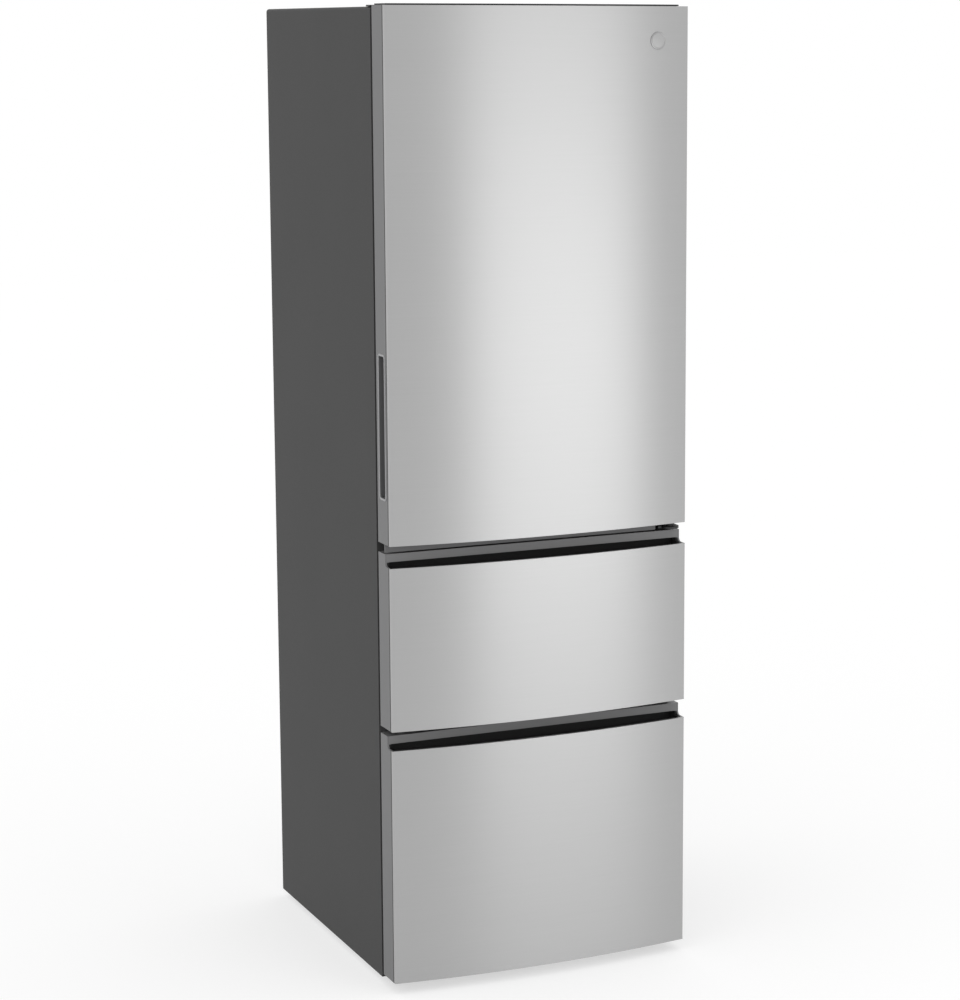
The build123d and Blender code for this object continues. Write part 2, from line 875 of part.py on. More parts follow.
# ---------------------------------------------------------------- freezer rails and bins
rail_front = y_case + rail_start
rail_length = y_evaporator - rail_rear_gap - rail_front
rail_levels = {"lower": z_step + rail_step_gap, "upper": crossrail_high + rail_crossrail_gap}
bin_half = inner_half - bin_rail_gap
plug_back = y_case + plug_reach
channel_half = inner_half - rail_sheet
rail_tip = inner_half - rail_depth


def cabinet_rail_section(level):
    """Front view of a pair of channels, open towards each other."""
    with BuildSketch() as pair:
        for side in (-1, 1):
            channel = [
                (side * rail_tip, level),
                (side * inner_half, level),
                (side * inner_half, level + rail_height),
                (side * rail_tip, level + rail_height),
            ]
            add(sheet_face(channel[::side], rail_sheet))
    return pair.sketch


with BuildPart() as freezer_cabinet_rails:
    for level in rail_levels.values():
        with BuildSketch(front_plane(rail_front)):
            add(cabinet_rail_section(level))
        extrude(amount=-rail_length)
save(freezer_cabinet_rails, "freezer_cabinet_rails")


def drawer_rails(level):
    """A pair of runners in the channels, each with a web for the bin and a plate for the front."""
    web_middle = level + rail_height / 2
    with BuildPart() as rails:
        with BuildSketch(front_plane(plug_back)):
            for side in (-1, 1):
                outer = channel_half - runner_gap
                inner = rail_tip + runner_gap
                with Locations((side * (outer + inner) / 2, web_middle)):
                    Rectangle(outer - inner, rail_height - 2 * (rail_sheet + runner_gap))
                web_tip = bin_half + bin_wall
                with Locations((side * (inner + web_tip) / 2, web_middle)):
                    Rectangle(inner - web_tip, runner_web)
        extrude(amount=-(rail_front + rail_length - plug_back - rail_start))
        with BuildSketch(front_plane(plug_back)):
            for side in (-1, 1):
                with Locations((side * (bin_half + bin_wall + channel_half - runner_gap) / 2, web_middle)):
                    RectangleRounded(
                        channel_half - runner_gap - bin_half - bin_wall,
                        rail_height + 2 * bracket_margin,
                        bracket_sheet,
                    )
        extrude(amount=-bracket_sheet)
    return rails


def bin_side(shrink, floor, low_depth, step, full_depth, height):
    """Side view of a freezer bin, stepped at the back where its low part is shorter."""
    front = plug_back + fit + shrink
    back = plug_back + full_depth - shrink
    points = [(front, floor + height), (front, floor + shrink)]
    if step > 0:
        low_back = plug_back + low_depth - shrink
        points += [(low_back, floor + shrink)]
        points += [(low_back, floor + step + shrink), (back, floor + step + shrink)]
    else:
        points += [(back, floor + shrink)]
    points += [(back, floor + height)]
    with BuildSketch() as side_view:
        with BuildLine():
            Polyline(*points, close=True)
        make_face()
        fillet(side_view.vertices().group_by(Axis.Y)[0], bin_radius - shrink)
    return side_view.sketch


def freezer_bin(rail_level, floor, low_depth, step, full_depth, height):
    """An open bin that hangs by side flanges on its drawer's rails."""
    flange_level = rail_level + (rail_height + runner_web) / 2
    with BuildPart() as bin_part:
        with BuildSketch(Plane.YZ):
            add(bin_side(0, floor, low_depth, step, full_depth, height))
        extrude(amount=bin_half, both=True)
        with BuildSketch(Plane.YZ):
            add(bin_side(bin_wall, floor, low_depth, step, full_depth, height))
        extrude(amount=bin_half - bin_wall, both=True, mode=Mode.SUBTRACT)
        with BuildSketch(front_plane(plug_back)):
            with Locations((0, floor + height)):
                SlotOverall(freezer_bin_grip[0], 2 * freezer_bin_grip[1])
        extrude(amount=-2 * bin_wall, mode=Mode.SUBTRACT)
        for side in (-1, 1):
            edges = sorted((side * (bin_half - bin_wall / 2), side * (bin_half + bin_flange)))
            span_box(
                (edges[0], plug_back + 2 * bin_radius, flange_level),
                (edges[1], plug_back + low_depth - 2 * bin_radius, flange_level + bin_wall),
            )
    return bin_part


lower_bin_floor = freezer_floor + freezer_bin_floor_gap
upper_bin_floor = crossrail_high + freezer_bin_floor_gap
freezer_bin_depth = y_evaporator - bin_rear_gap - plug_back
lower_bin_low_depth = y_step - bin_rear_gap - plug_back
lower_bin_step = rail_levels["lower"] - lower_bin_floor
lower_bin_height = crossrail_low - bin_headroom[0] - lower_bin_floor
upper_bin_height = freezer_ceiling - bin_headroom[1] - upper_bin_floor
save(drawer_rails(rail_levels["lower"]), "lower_drawer_rails")
save(drawer_rails(rail_levels["upper"]), "upper_drawer_rails")
save(
    freezer_bin(
        rail_levels["lower"],
        lower_bin_floor,
        lower_bin_low_depth,
        lower_bin_step,
        freezer_bin_depth,
        lower_bin_height,
    ),
    "lower_drawer_bin",
)
save(
    freezer_bin(
        rail_levels["upper"], upper_bin_floor, freezer_bin_depth, 0, freezer_bin_depth, upper_bin_height
    ),
    "upper_drawer_bin",
)


# ---------------------------------------------------------------- parts of the door and drawer fronts
plug_half = inner_half - plug_margin


def steel_skin(bottom, top, turned_ends):
    """The bowed steel sheet with hemmed sides and, on a drawer, turned-in ends."""
    hem_back = y_corner + hem_depth
    with BuildPart() as skin:
        with BuildSketch(Plane.XY.offset(bottom)) as wrap:
            add(bowed_face(0, half_width, hem_back))
            fillet(wrap.vertices().group_by(Axis.Y)[0], skin_bend)
            add(bowed_face(skin_sheet, half_width - skin_sheet, hem_back), mode=Mode.SUBTRACT)
        extrude(amount=top - bottom)
        if turned_ends:
            with BuildSketch(Plane.XY.offset(bottom)):
                add(bowed_face(0, half_width, hem_back))
            extrude(amount=skin_sheet)
            with BuildSketch(Plane.XY.offset(top - skin_sheet)):
                add(bowed_face(0, half_width, hem_back))
                add(bowed_face(top_return, half_width - skin_sheet, hem_back), mode=Mode.SUBTRACT)
            extrude(amount=skin_sheet)
    return skin


def drawer_edge_frame(bottom, top):
    """The moulded surround of a drawer front: both sides and the bottom, cut back round the pull."""
    pull_top = top + pull_rise
    with BuildPart() as surround:
        with BuildSketch(Plane.YZ) as side_view:
            rectangle_between((y_hem, bottom), (y_front_back, pull_top))
            rectangle_between((y_hem, top), (y_pull, pull_top), Mode.SUBTRACT)
            fillet(side_view.vertices().sort_by_distance((y_pull, top))[0], pocket_radius)
        extrude(amount=half_width, both=True)
        span_box(
            (-frame_half, y_hem, bottom + frame_wall), (frame_half, y_front_back, pull_top), Mode.SUBTRACT
        )
    return surround


def drawer_pull(top):
    """The moulding along a drawer's top edge, with a finger pocket behind the steel and a lip over it."""
    pull_top = top + pull_rise
    low = top - pocket_depth - pocket_floor
    with BuildPart() as pull:
        with BuildSketch(Plane.XY.offset(low)):
            add(bowed_face(skin_inner, frame_half, y_panel))
        extrude(amount=pull_top - low)
        span_box(
            (-half_width, y_crown, top - skin_inner), (half_width, y_pull, pull_top), Mode.SUBTRACT
        )
        with BuildSketch(Plane.XY.offset(top - pocket_depth)):
            add(bowed_face(pocket_inset, frame_half - pocket_end_wall, y_pull + lip_undercut))
        extrude(amount=pocket_depth + pull_rise - lip_height, mode=Mode.SUBTRACT)
        span_box((-frame_half, y_pull, pull_top - panel_wall), (frame_half, y_front_back, pull_top))
    return pull


def drawer_core(bottom, top, plug_low, plug_high):
    """The foam of a drawer front, with the block that fills the plug of its inner panel."""
    foam_top = top - pocket_depth - pocket_floor
    with BuildPart() as core:
        with BuildSketch(Plane.XY.offset(bottom + frame_wall)):
            add(bowed_face(skin_inner, frame_half, y_panel))
        extrude(amount=foam_top - bottom - frame_wall)
        span_box(
            (-plug_half + panel_wall, y_panel, plug_low + panel_wall),
            (plug_half - panel_wall, plug_back - panel_wall, plug_high - panel_wall),
        )
    return core


def drawer_inner_panel(bottom, top, plug_low, plug_high):
    """The plastic back of a drawer front, raised into a plug inside the opening."""
    with BuildPart() as panel:
        span_box(
            (-frame_half, y_panel, bottom + frame_wall),
            (frame_half, y_front_back, top + pull_rise - panel_wall),
        )
        span_box((-plug_half, y_front_back, plug_low), (plug_half, plug_back, plug_high))
        span_box(
            (-plug_half + panel_wall, y_panel, plug_low + panel_wall),
            (plug_half - panel_wall, plug_back - panel_wall, plug_high - panel_wall),
            Mode.SUBTRACT,
        )
    return panel


def gasket_ring(bottom, top):
    """A magnetic gasket: a flat base on the front and a narrower bulb towards the casing."""
    with BuildPart() as gasket:
        outer_half = half_width - gasket_side_inset
        low = bottom + gasket_end_inset
        high = top - gasket_end_inset
        layers = ((0, y_front_back, gasket_base), (gasket_bulb_inset, y_front_back, gasket_thickness))
        for inset, start, thickness in layers:
            with BuildSketch(front_plane(start)):
                rectangle_between(
                    (-outer_half + inset, low + inset),
                    (outer_half - inset, high - inset),
                    radius=gasket_width,
                )
                inner = gasket_width - inset
                rectangle_between(
                    (-outer_half + inner, low + inner), (outer_half - inner, high - inner), Mode.SUBTRACT
                )
            extrude(amount=-thickness)
    return gasket


drawers = {
    "lower": (lower_bottom, lower_top, freezer_floor + plug_margin, crossrail_low - plug_margin),
    "upper": (upper_bottom, upper_top, crossrail_high + plug_margin, freezer_ceiling - plug_margin),
}
for name, (bottom, top, plug_low, plug_high) in drawers.items():
    save(steel_skin(bottom, top, True), f"{name}_drawer_skin")
    save(drawer_edge_frame(bottom, top), f"{name}_drawer_edge_frame")
    save(drawer_pull(top), f"{name}_drawer_pull")
    save(drawer_core(bottom, top, plug_low, plug_high), f"{name}_drawer_core")
    save(drawer_inner_panel(bottom, top, plug_low, plug_high), f"{name}_drawer_inner_panel")
    save(gasket_ring(bottom, top + pull_rise), f"{name}_drawer_gasket")

# ---------------------------------------------------------------- door
handle_level = door_bottom + handle_rise
handle_low = handle_level - handle_height / 2
handle_high = handle_level + handle_height / 2
handle_front = y_corner + handle_setback
handle_back = handle_front + handle_width
dyke_half = inner_half - dyke_clearance
dyke_low = fridge_floor + dyke_clearance
dyke_high = fridge_ceiling - dyke_clearance
dyke_back = y_case + dyke_reach
bin_end = dyke_half - dyke_width - bin_side_gap
bin_bottom = dyke_low + dyke_width + bin_floor_gap
bin_rack_height = dyke_high - dyke_width - bin_bottom
bin_levels = [
    (bin_bottom + share * bin_rack_height, height) for share, height in zip(bin_shares, bin_heights)
]
hinge_axis = (hinge_x, hinge_y)


def dyke_face(shrink):
    """Front view of the raised ring on the door's inner panel."""
    with BuildSketch() as ring:
        rectangle_between(
            (-dyke_half + shrink, dyke_low + shrink), (dyke_half - shrink, dyke_high - shrink),
            radius=dyke_radius - shrink,
        )
        inner = dyke_width - shrink
        rectangle_between(
            (-dyke_half + inner, dyke_low + inner), (dyke_half - inner, dyke_high - inner), Mode.SUBTRACT
        )
    return ring.sketch


save(steel_skin(door_bottom, door_top, False), "door_skin")

with BuildPart() as door_edge_walls:
    for side in (-1, 1):
        edges = sorted((side * frame_half, side * half_width))
        span_box((edges[0], y_hem, door_bottom), (edges[1], y_front_back, door_top))
    with BuildSketch(Plane.YZ):
        rectangle_between((handle_front, handle_low), (handle_back, handle_high), radius=handle_radius)
    extrude(amount=-half_width, mode=Mode.SUBTRACT)
save(door_edge_walls, "door_edge_walls")

cup_low = (-frame_half, handle_front - handle_undercut - cup_wall, handle_low - cup_wall)
cup_high = (-frame_half + handle_depth + cup_wall, handle_back + cup_wall, handle_high + cup_wall)
with BuildPart() as door_handle_cup:
    span_box(cup_low, cup_high)
    fillet(door_handle_cup.faces().sort_by(Axis.X)[-1].edges(), handle_radius)
    span_box(
        (-frame_half, handle_front - handle_undercut, handle_low),
        (-frame_half + handle_depth, handle_back, handle_high),
        Mode.SUBTRACT,
    )
save(door_handle_cup, "door_handle_cup")

with BuildPart() as door_core:
    with BuildSketch(Plane.XY.offset(door_bottom + bottom_cap_depth)):
        add(bowed_face(skin_inner, frame_half, y_panel))
    extrude(amount=door_top - top_cap_depth - door_bottom - bottom_cap_depth)
    span_box(
        (-half_width, cup_low[1] - fit, cup_low[2] - fit),
        (cup_high[0] + fit, cup_high[1] + fit, cup_high[2] + fit),
        Mode.SUBTRACT,
    )
    with BuildSketch(front_plane(y_panel)):
        add(dyke_face(panel_wall))
    extrude(amount=-(dyke_back - panel_wall - y_panel))
save(door_core, "door_core")

with BuildPart() as door_inner_panel:
    span_box((-frame_half, y_panel, door_bottom), (frame_half, y_front_back, door_top))
    with BuildSketch(front_plane(y_front_back)):
        add(dyke_face(0))
    extrude(amount=-(dyke_back - y_front_back))
    with BuildSketch(front_plane(y_panel)):
        add(dyke_face(panel_wall))
    extrude(amount=-(dyke_back - panel_wall - y_panel), mode=Mode.SUBTRACT)
    for level, height in bin_levels:
        for side in (-1, 1):
            edges = sorted((side * (bin_end + fit), side * (dyke_half - dyke_width)))
            lug_low = level + height - lug_height
            span_box(
                (edges[0], y_front_back, lug_low - boss_height),
                (edges[1], y_front_back + lug_depth, lug_low),
            )
save(door_inner_panel, "door_inner_panel")

with BuildPart() as door_top_cap:
    with BuildSketch(Plane.XY.offset(door_top - top_cap_depth)):
        add(bowed_face(skin_inner, frame_half, y_panel))
    extrude(amount=top_cap_depth)
    with BuildSketch(Plane.XY.offset(door_top)):
        add(bowed_face(cap_margin, half_width - cap_margin, y_panel))
        with Locations(hinge_axis):
            Circle(hinge_arm / 2 + cap_margin, mode=Mode.SUBTRACT)
        rectangle_between(
            (hinge_x - hinge_arm / 2 - cap_margin, hinge_y), (half_width, y_front_back), Mode.SUBTRACT
        )
        rectangle_between((hinge_x, y_crown), (half_width, hinge_y), Mode.SUBTRACT)
    extrude(amount=cap_rise)
    with BuildSketch(Plane.XY.offset(door_top)):
        with Locations(hinge_axis):
            Circle(top_pin_radius + shaft_fit)
    extrude(amount=-top_pin_length - pin_gap, mode=Mode.SUBTRACT)
save(door_top_cap, "door_top_cap")

with BuildPart() as door_bottom_cap:
    with BuildSketch(Plane.XY.offset(door_bottom)):
        add(bowed_face(skin_inner, frame_half, y_panel))
    extrude(amount=bottom_cap_depth)
    span_box(
        (-half_width, y_pull, door_bottom - door_lip_height),
        (hinge_x - hinge_arm - cap_margin, y_pull + door_lip_wall, door_bottom),
    )
    with BuildSketch(Plane.XY.offset(door_bottom)):
        with Locations(hinge_axis):
            Circle(middle_pin_radius + shaft_fit)
    extrude(amount=middle_pin_length + pin_gap, mode=Mode.SUBTRACT)
save(door_bottom_cap, "door_bottom_cap")

save(gasket_ring(door_bottom, door_top), "door_gasket")


def bin_outline(shrink, level, height):
    """Side view of a door bin whose front leans out towards its rim."""
    with BuildSketch() as side_view:
        with BuildLine():
            back = y_front_back + fit + shrink
            front = back + bin_reach - 2 * shrink
            Polyline(
                (back, level + shrink),
                (front - bin_lean, level + shrink),
                (front, level + height),
                (back, level + height),
                close=True,
            )
        make_face()
        fillet(side_view.vertices().group_by(Axis.Y)[0], bin_radius - shrink)
    return side_view.sketch


with BuildPart() as door_bins:
    for level, height in bin_levels:
        with BuildSketch(Plane.YZ):
            add(bin_outline(0, level, height))
        extrude(amount=bin_end, both=True)
        with BuildSketch(Plane.YZ):
            add(bin_outline(bin_wall, level, height))
        extrude(amount=bin_end - bin_wall, both=True, mode=Mode.SUBTRACT)
        for side in (-1, 1):
            edges = sorted((side * (bin_end - bin_wall / 2), side * (dyke_half - dyke_width - fit)))
            span_box(
                (edges[0], y_front_back + fit, level + height - lug_height),
                (edges[1], y_front_back + lug_depth, level + height),
            )
save(door_bins, "door_bins")

# ---------------------------------------------------------------- hinges and their screws
hinge_top = door_top + cap_rise
hinge_foot_back = y_case + top_foot_length
top_screws = [
    (hinge_x + side * top_foot_width / 4, y_case + share * top_foot_length, hinge_top)
    for side in (-1, 1)
    for share in (0.25, 0.75)
]

with BuildPart() as top_hinge:
    span_box(
        (hinge_x - top_foot_width / 2, y_case, z_top),
        (hinge_x + top_foot_width / 2, hinge_foot_back, hinge_top),
    )
    with BuildSketch(Plane.XY.offset(hinge_top)):
        rectangle_between((hinge_x - hinge_arm / 2, hinge_y), (hinge_x + hinge_arm / 2, y_case))
        with Locations(hinge_axis):
            Circle(hinge_arm / 2)
    extrude(amount=-(cap_rise - top_plate_gap))
    with BuildSketch(Plane.XY.offset(door_top + top_plate_gap)):
        with Locations(hinge_axis):
            Circle(top_pin_radius)
    extrude(amount=-top_pin_length)
    with Locations(*top_screws):
        Cone(
            hinge_screw_radius,
            hinge_screw_head,
            hinge_top - z_top,
            align=(Align.CENTER, Align.CENTER, Align.MAX),
            mode=Mode.SUBTRACT,
        )
save(top_hinge, "top_hinge")

plate_low = upper_pull_top + middle_plate_lift
plate_high = plate_low + middle_plate
plate_side = frame_half - panel_wall
flange_front = y_case - middle_flange_sheet
flange_screw_level = plate_high - middle_flange_height + hinge_screw_head + middle_flange_sheet
flange_screws = [
    (hinge_x - share * middle_flange_width, flange_front, flange_screw_level) for share in (0.05, 0.35)
]

with BuildPart() as middle_hinge:
    with BuildSketch(Plane.XY.offset(plate_low)):
        rectangle_between((hinge_x - middle_flange_width / 2, flange_front), (frame_half, y_case))
        rectangle_between((hinge_x - hinge_arm, hinge_y), (plate_side, flange_front))
        with Locations(hinge_axis):
            Circle(plate_side - hinge_x)
    extrude(amount=middle_plate)
    span_box(
        (hinge_x - middle_flange_width / 2, flange_front, plate_high - middle_flange_height),
        (frame_half, y_case, plate_high),
    )
    with BuildSketch(Plane.XY.offset(plate_high)):
        with Locations(hinge_axis):
            Circle(bush_radius)
    extrude(amount=door_bottom - fit - plate_high)
    with BuildSketch(Plane.XY.offset(plate_high)):
        with Locations(hinge_axis):
            Circle(middle_pin_radius)
    extrude(amount=door_bottom - fit - plate_high + middle_pin_length)
    with Locations(*(Plane(origin=place, x_dir=(1, 0, 0), z_dir=(0, -1, 0)) for place in flange_screws)):
        Cone(
            hinge_screw_radius,
            hinge_screw_head,
            middle_flange_sheet,
            align=(Align.CENTER, Align.CENTER, Align.MAX),
            mode=Mode.SUBTRACT,
        )
save(middle_hinge, "middle_hinge")

cover_back = y_back - case_sheet
cover_half = half_width - case_sheet - fit
cover_screws = [
    (side * (cover_half - 3 * cover_screw_head), cover_back, level)
    for side in (-1, 1)
    for level in (z_case + 3 * cover_screw_head, z_machine - 3 * cover_screw_head)
]

with BuildPart() as screws:
    with Locations(*top_screws):
        Cone(
            hinge_screw_radius,
            hinge_screw_head,
            hinge_top - z_top,
            align=(Align.CENTER, Align.CENTER, Align.MAX),
        )
    with Locations(*(Plane(origin=place, x_dir=(1, 0, 0), z_dir=(0, -1, 0)) for place in flange_screws)):
        Cone(
            hinge_screw_radius,
            hinge_screw_head,
            middle_flange_sheet,
            align=(Align.CENTER, Align.CENTER, Align.MAX),
        )
    with Locations(*(Plane(origin=place, x_dir=(1, 0, 0), z_dir=(0, 1, 0)) for place in cover_screws)):
        Cylinder(cover_screw_head, cover_screw_rise, align=(Align.CENTER, Align.CENTER, Align.MIN))
        Cylinder(hinge_screw_radius - fit, cover_sheet, align=(Align.CENTER, Align.CENTER, Align.MAX))
save(screws, "screws")

with BuildPart() as top_front_trim:
    trim_end = hinge_x - top_foot_width / 2 - fit
    span_box(
        (-half_width, y_case, z_top), (trim_end, y_case + front_trim_depth, z_top + front_trim_height)
    )
    fillet(top_front_trim.edges().filter_by(Axis.X).group_by(Axis.Z)[-1], front_trim_height / 3)
save(top_front_trim, "top_front_trim")

# ---------------------------------------------------------------- machine compartment
roller_x = half_width - roller_inset
roller_y = y_back - roller_back
plate_top = z_case + base_plate
base_front = y_machine + fit
base_back = cover_back - cover_sheet - fit
machine_y = (y_machine + y_back) / 2
compressor_x = -half_width + width * compressor_share
condenser_high_x = half_width - width * condenser_inset_share
condenser_low_x = condenser_high_x - width * condenser_share
fan_mount_x = condenser_low_x - width * fan_mount_share - fan_plate

with BuildPart() as machine_base:
    with BuildSketch(Plane.YZ):
        base_line = [
            (base_front, z_case + base_lip),
            (base_front, z_case),
            (base_back, z_case),
            (base_back, z_case + base_lip),
        ]
        add(sheet_face(base_line, base_plate))
    extrude(amount=cover_half, both=True)
    slot_half = roller_width / 2 + roller_gap
    for side in (-1, 1):
        span_box(
            (side * roller_x - slot_half, roller_y - roller_radius - roller_gap, z_case),
            (side * roller_x + slot_half, roller_y + roller_radius + roller_gap, plate_top),
            Mode.SUBTRACT,
        )
        for ear_side in (-1, 1):
            ear_x = side * roller_x + ear_side * (slot_half + ear_sheet / 2)
            span_box(
                (ear_x - ear_sheet / 2, roller_y - ear_length / 2, z_case),
                (ear_x + ear_sheet / 2, roller_y + ear_length / 2, z_case + ear_rise),
            )
        with BuildSketch(Plane.YZ.offset(side * roller_x)):
            with Locations((roller_y, roller_radius)):
                Circle(axle_radius)
        extrude(amount=slot_half + ear_sheet / 2, both=True)
    with BuildSketch(Plane.XY.offset(plate_top)):
        with Locations((compressor_x, machine_y)):
            with GridLocations(*boss_spacing, 2, 2):
                Circle(boss_radius)
    extrude(amount=boss_rise)
save(machine_base, "machine_base")

for name, side in (("left_rear_roller", -1), ("right_rear_roller", 1)):
    with BuildPart() as rear_roller:
        with BuildSketch(Plane.YZ.offset(side * roller_x)):
            with Locations((roller_y, roller_radius)):
                Circle(roller_radius)
                Circle(axle_radius + shaft_fit, mode=Mode.SUBTRACT)
        extrude(amount=roller_width / 2, both=True)
    save(rear_roller, name)

for name, side in (("left_front_foot", -1), ("right_front_foot", 1)):
    with BuildPart() as front_foot:
        foot_place = (side * (half_width - foot_inset), y_case + foot_back)
        with BuildSketch():
            with Locations(foot_place):
                Circle(foot_radius)
        extrude(amount=foot_pad)
        chamfer(front_foot.edges().filter_by(GeomType.CIRCLE), fit)
        with BuildSketch():
            with Locations(foot_place):
                Circle(stud_radius)
        extrude(amount=z_case + stud_reach)
    save(front_foot, name)

pot_low = plate_top + boss_rise
pot_top = pot_low + compressor_height
pot_middle = (pot_low + pot_top) / 2
compressor_axis = Plane(origin=(compressor_x, machine_y, 0), x_dir=(1, 0, 0), z_dir=(0, -1, 0))

with BuildPart() as compressor:
    with BuildSketch(compressor_axis) as pot_section:
        rectangle_between((0, pot_low), (compressor_radius, pot_top))
        foot_corner = pot_section.vertices().sort_by_distance((compressor_radius, pot_low))[0]
        chamfer(foot_corner, compressor_dome / 2)
        fillet(pot_section.vertices().sort_by_distance((compressor_radius, pot_top))[0], 2 * compressor_dome)
        rectangle_between(
            (0, pot_middle - compressor_seam),
            (compressor_radius + compressor_seam, pot_middle + compressor_seam),
        )
    revolve(axis=Axis((compressor_x, machine_y, 0), (0, 0, 1)))
    with Locations((compressor_x, machine_y, pot_low)):
        Box(*compressor_plate, align=(Align.CENTER, Align.CENTER, Align.MIN))
    with Locations((compressor_x - compressor_radius - compressor_seam, machine_y, pot_middle)):
        Box(*terminal_box)
save(compressor, "compressor")

condenser_low = plate_top + condenser_pitch / 2 + fit
condenser = finned_coil(
    machine_y,
    condenser_low_x,
    condenser_high_x,
    condenser_low,
    condenser_passes,
    condenser_pitch,
    condenser_tube,
    condenser_fins,
    condenser_depth,
)
save(condenser, "condenser")

condenser_middle = condenser_low + (condenser_passes - 1) * condenser_pitch / 2
opening_radius = condenser_fan_radius + fan_opening_gap
mount_plane = Plane.YZ.offset(fan_mount_x)

with BuildPart() as condenser_fan_mount:
    with BuildSketch(mount_plane):
        mount_edge = opening_radius + 2 * fan_opening_gap
        rectangle_between(
            (machine_y - mount_edge, plate_top), (machine_y + mount_edge, condenser_middle + mount_edge)
        )
        with Locations((machine_y, condenser_middle)):
            Circle(opening_radius, mode=Mode.SUBTRACT)
            with PolarLocations(opening_radius / 2, 3, start_angle=90):
                Rectangle(opening_radius + fan_opening_gap, motor_arm)
            Circle(condenser_motor_radius)
    extrude(amount=fan_plate)
    with BuildSketch(mount_plane):
        with Locations((machine_y, condenser_middle)):
            Circle(condenser_motor_radius)
    extrude(amount=-condenser_motor_length)
    with BuildSketch(mount_plane):
        with Locations((machine_y, condenser_middle)):
            Circle(motor_shaft)
    extrude(amount=fan_plate + motor_gap + condenser_fan_length)
save(condenser_fan_mount, "condenser_fan_mount")

fan_x = fan_mount_x + fan_plate + motor_gap + condenser_fan_length / 2
condenser_fan = fan_rotor(
    Plane(origin=(fan_x, machine_y, condenser_middle), x_dir=(0, 1, 0), z_dir=(1, 0, 0)),
    condenser_fan_radius,
    condenser_motor_radius,
    motor_shaft + shaft_fit,
    condenser_fan_length,
    condenser_blades,
)
save(condenser_fan, "condenser_fan")

with BuildPart() as machine_cover:
    span_box((-cover_half, cover_back - cover_sheet, z_case), (cover_half, cover_back, z_machine - fit))
    gland_place = (-cover_half + roller_inset, cover_back, pot_middle)
    with Locations(Plane(origin=gland_place, x_dir=(1, 0, 0), z_dir=(0, 1, 0))):
        Cylinder(gland_radius, cover_sheet, align=(Align.CENTER, Align.CENTER, Align.MIN))
        Cylinder(gland_bore, 4 * cover_sheet, mode=Mode.SUBTRACT)
    with BuildSketch(front_plane(cover_back)):
        with Locations(((condenser_low_x + condenser_high_x) / 2, condenser_middle)):
            with GridLocations(louvre_pitch, 1, louvre_count, 1):
                SlotOverall(louvre_height, louvre_width, rotation=90)
    extrude(amount=cover_sheet, mode=Mode.SUBTRACT)
    with Locations(*(Plane(origin=place, x_dir=(1, 0, 0), z_dir=(0, 1, 0)) for place in cover_screws)):
        Cylinder(hinge_screw_radius, 4 * cover_sheet, mode=Mode.SUBTRACT)
save(machine_cover, "machine_cover")

with BuildPart() as rear_spacers:
    with BuildSketch(front_plane(y_back)):
        with Locations((0, z_top - spacer_drop)):
            with GridLocations(width * spacer_share, 1, 2, 1):
                Circle(spacer_radius)
    extrude(amount=-spacer_depth)
save(rear_spacers, "rear_spacers")
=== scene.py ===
import json
import math

import bmesh
import bpy
from mathutils import Euler, Matrix, Vector


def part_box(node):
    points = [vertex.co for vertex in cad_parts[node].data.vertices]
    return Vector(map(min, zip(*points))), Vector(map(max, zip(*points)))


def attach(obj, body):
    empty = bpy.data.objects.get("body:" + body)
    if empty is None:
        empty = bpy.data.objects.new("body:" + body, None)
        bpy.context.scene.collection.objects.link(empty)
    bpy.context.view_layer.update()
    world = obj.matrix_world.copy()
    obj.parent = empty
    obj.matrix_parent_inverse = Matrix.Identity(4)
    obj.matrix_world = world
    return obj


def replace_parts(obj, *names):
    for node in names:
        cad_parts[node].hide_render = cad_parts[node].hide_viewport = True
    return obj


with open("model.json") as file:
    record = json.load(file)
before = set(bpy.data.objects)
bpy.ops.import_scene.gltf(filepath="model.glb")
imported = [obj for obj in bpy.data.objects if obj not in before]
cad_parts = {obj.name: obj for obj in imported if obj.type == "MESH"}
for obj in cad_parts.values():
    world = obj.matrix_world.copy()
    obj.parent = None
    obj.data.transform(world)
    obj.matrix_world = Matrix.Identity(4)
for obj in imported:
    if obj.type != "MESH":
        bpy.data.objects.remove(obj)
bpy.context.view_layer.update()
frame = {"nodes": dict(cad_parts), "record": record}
nodes = frame["nodes"]

MM = 0.001
QUARTER_TURN = math.pi / 2
FRONTS = ("door", "upper_drawer", "lower_drawer")

# The photograph's viewpoint --------------------------------------------------------------------

SENSOR_MM, LENS_MM = 36.0, 96.466
CAMERA_PLACE = (-1.9692, -4.7448, 1.7501)
CAMERA_HEADING, CAMERA_DIP = math.radians(25.023), math.radians(9.222)
CLIP_NEAR, CLIP_FAR = 0.1, 100.0
# Brings the object to its place in the photograph's frame, with the whole top edge in view.
FRAME_SHIFT = (-0.11, -0.031)

camera_data = bpy.data.cameras.new("photo_camera")
camera_data.sensor_width = SENSOR_MM
camera_data.lens = LENS_MM
camera_data.shift_x, camera_data.shift_y = FRAME_SHIFT
camera_data.clip_start, camera_data.clip_end = CLIP_NEAR, CLIP_FAR
camera = bpy.data.objects.new("photo_camera", camera_data)
camera.location = CAMERA_PLACE
camera.rotation_euler = Euler((QUARTER_TURN - CAMERA_DIP, 0.0, -CAMERA_HEADING))
bpy.context.scene.collection.objects.link(camera)
bpy.context.scene.camera = camera
bpy.context.scene.view_settings.view_transform = "Standard"


# Helpers for materials -------------------------------------------------------------------------

def paint(hex_colour):
    """The linear colour of an sRGB hex value, by the curve that the sRGB standard gives."""
    value = hex_colour.lstrip("#")
    parts = [int(value[i:i + 2], 16) / 255 for i in (0, 2, 4)]
    return [c / 12.92 if c <= 0.04045 else ((c + 0.055) / 1.055) ** 2.4 for c in parts] + [1.0]


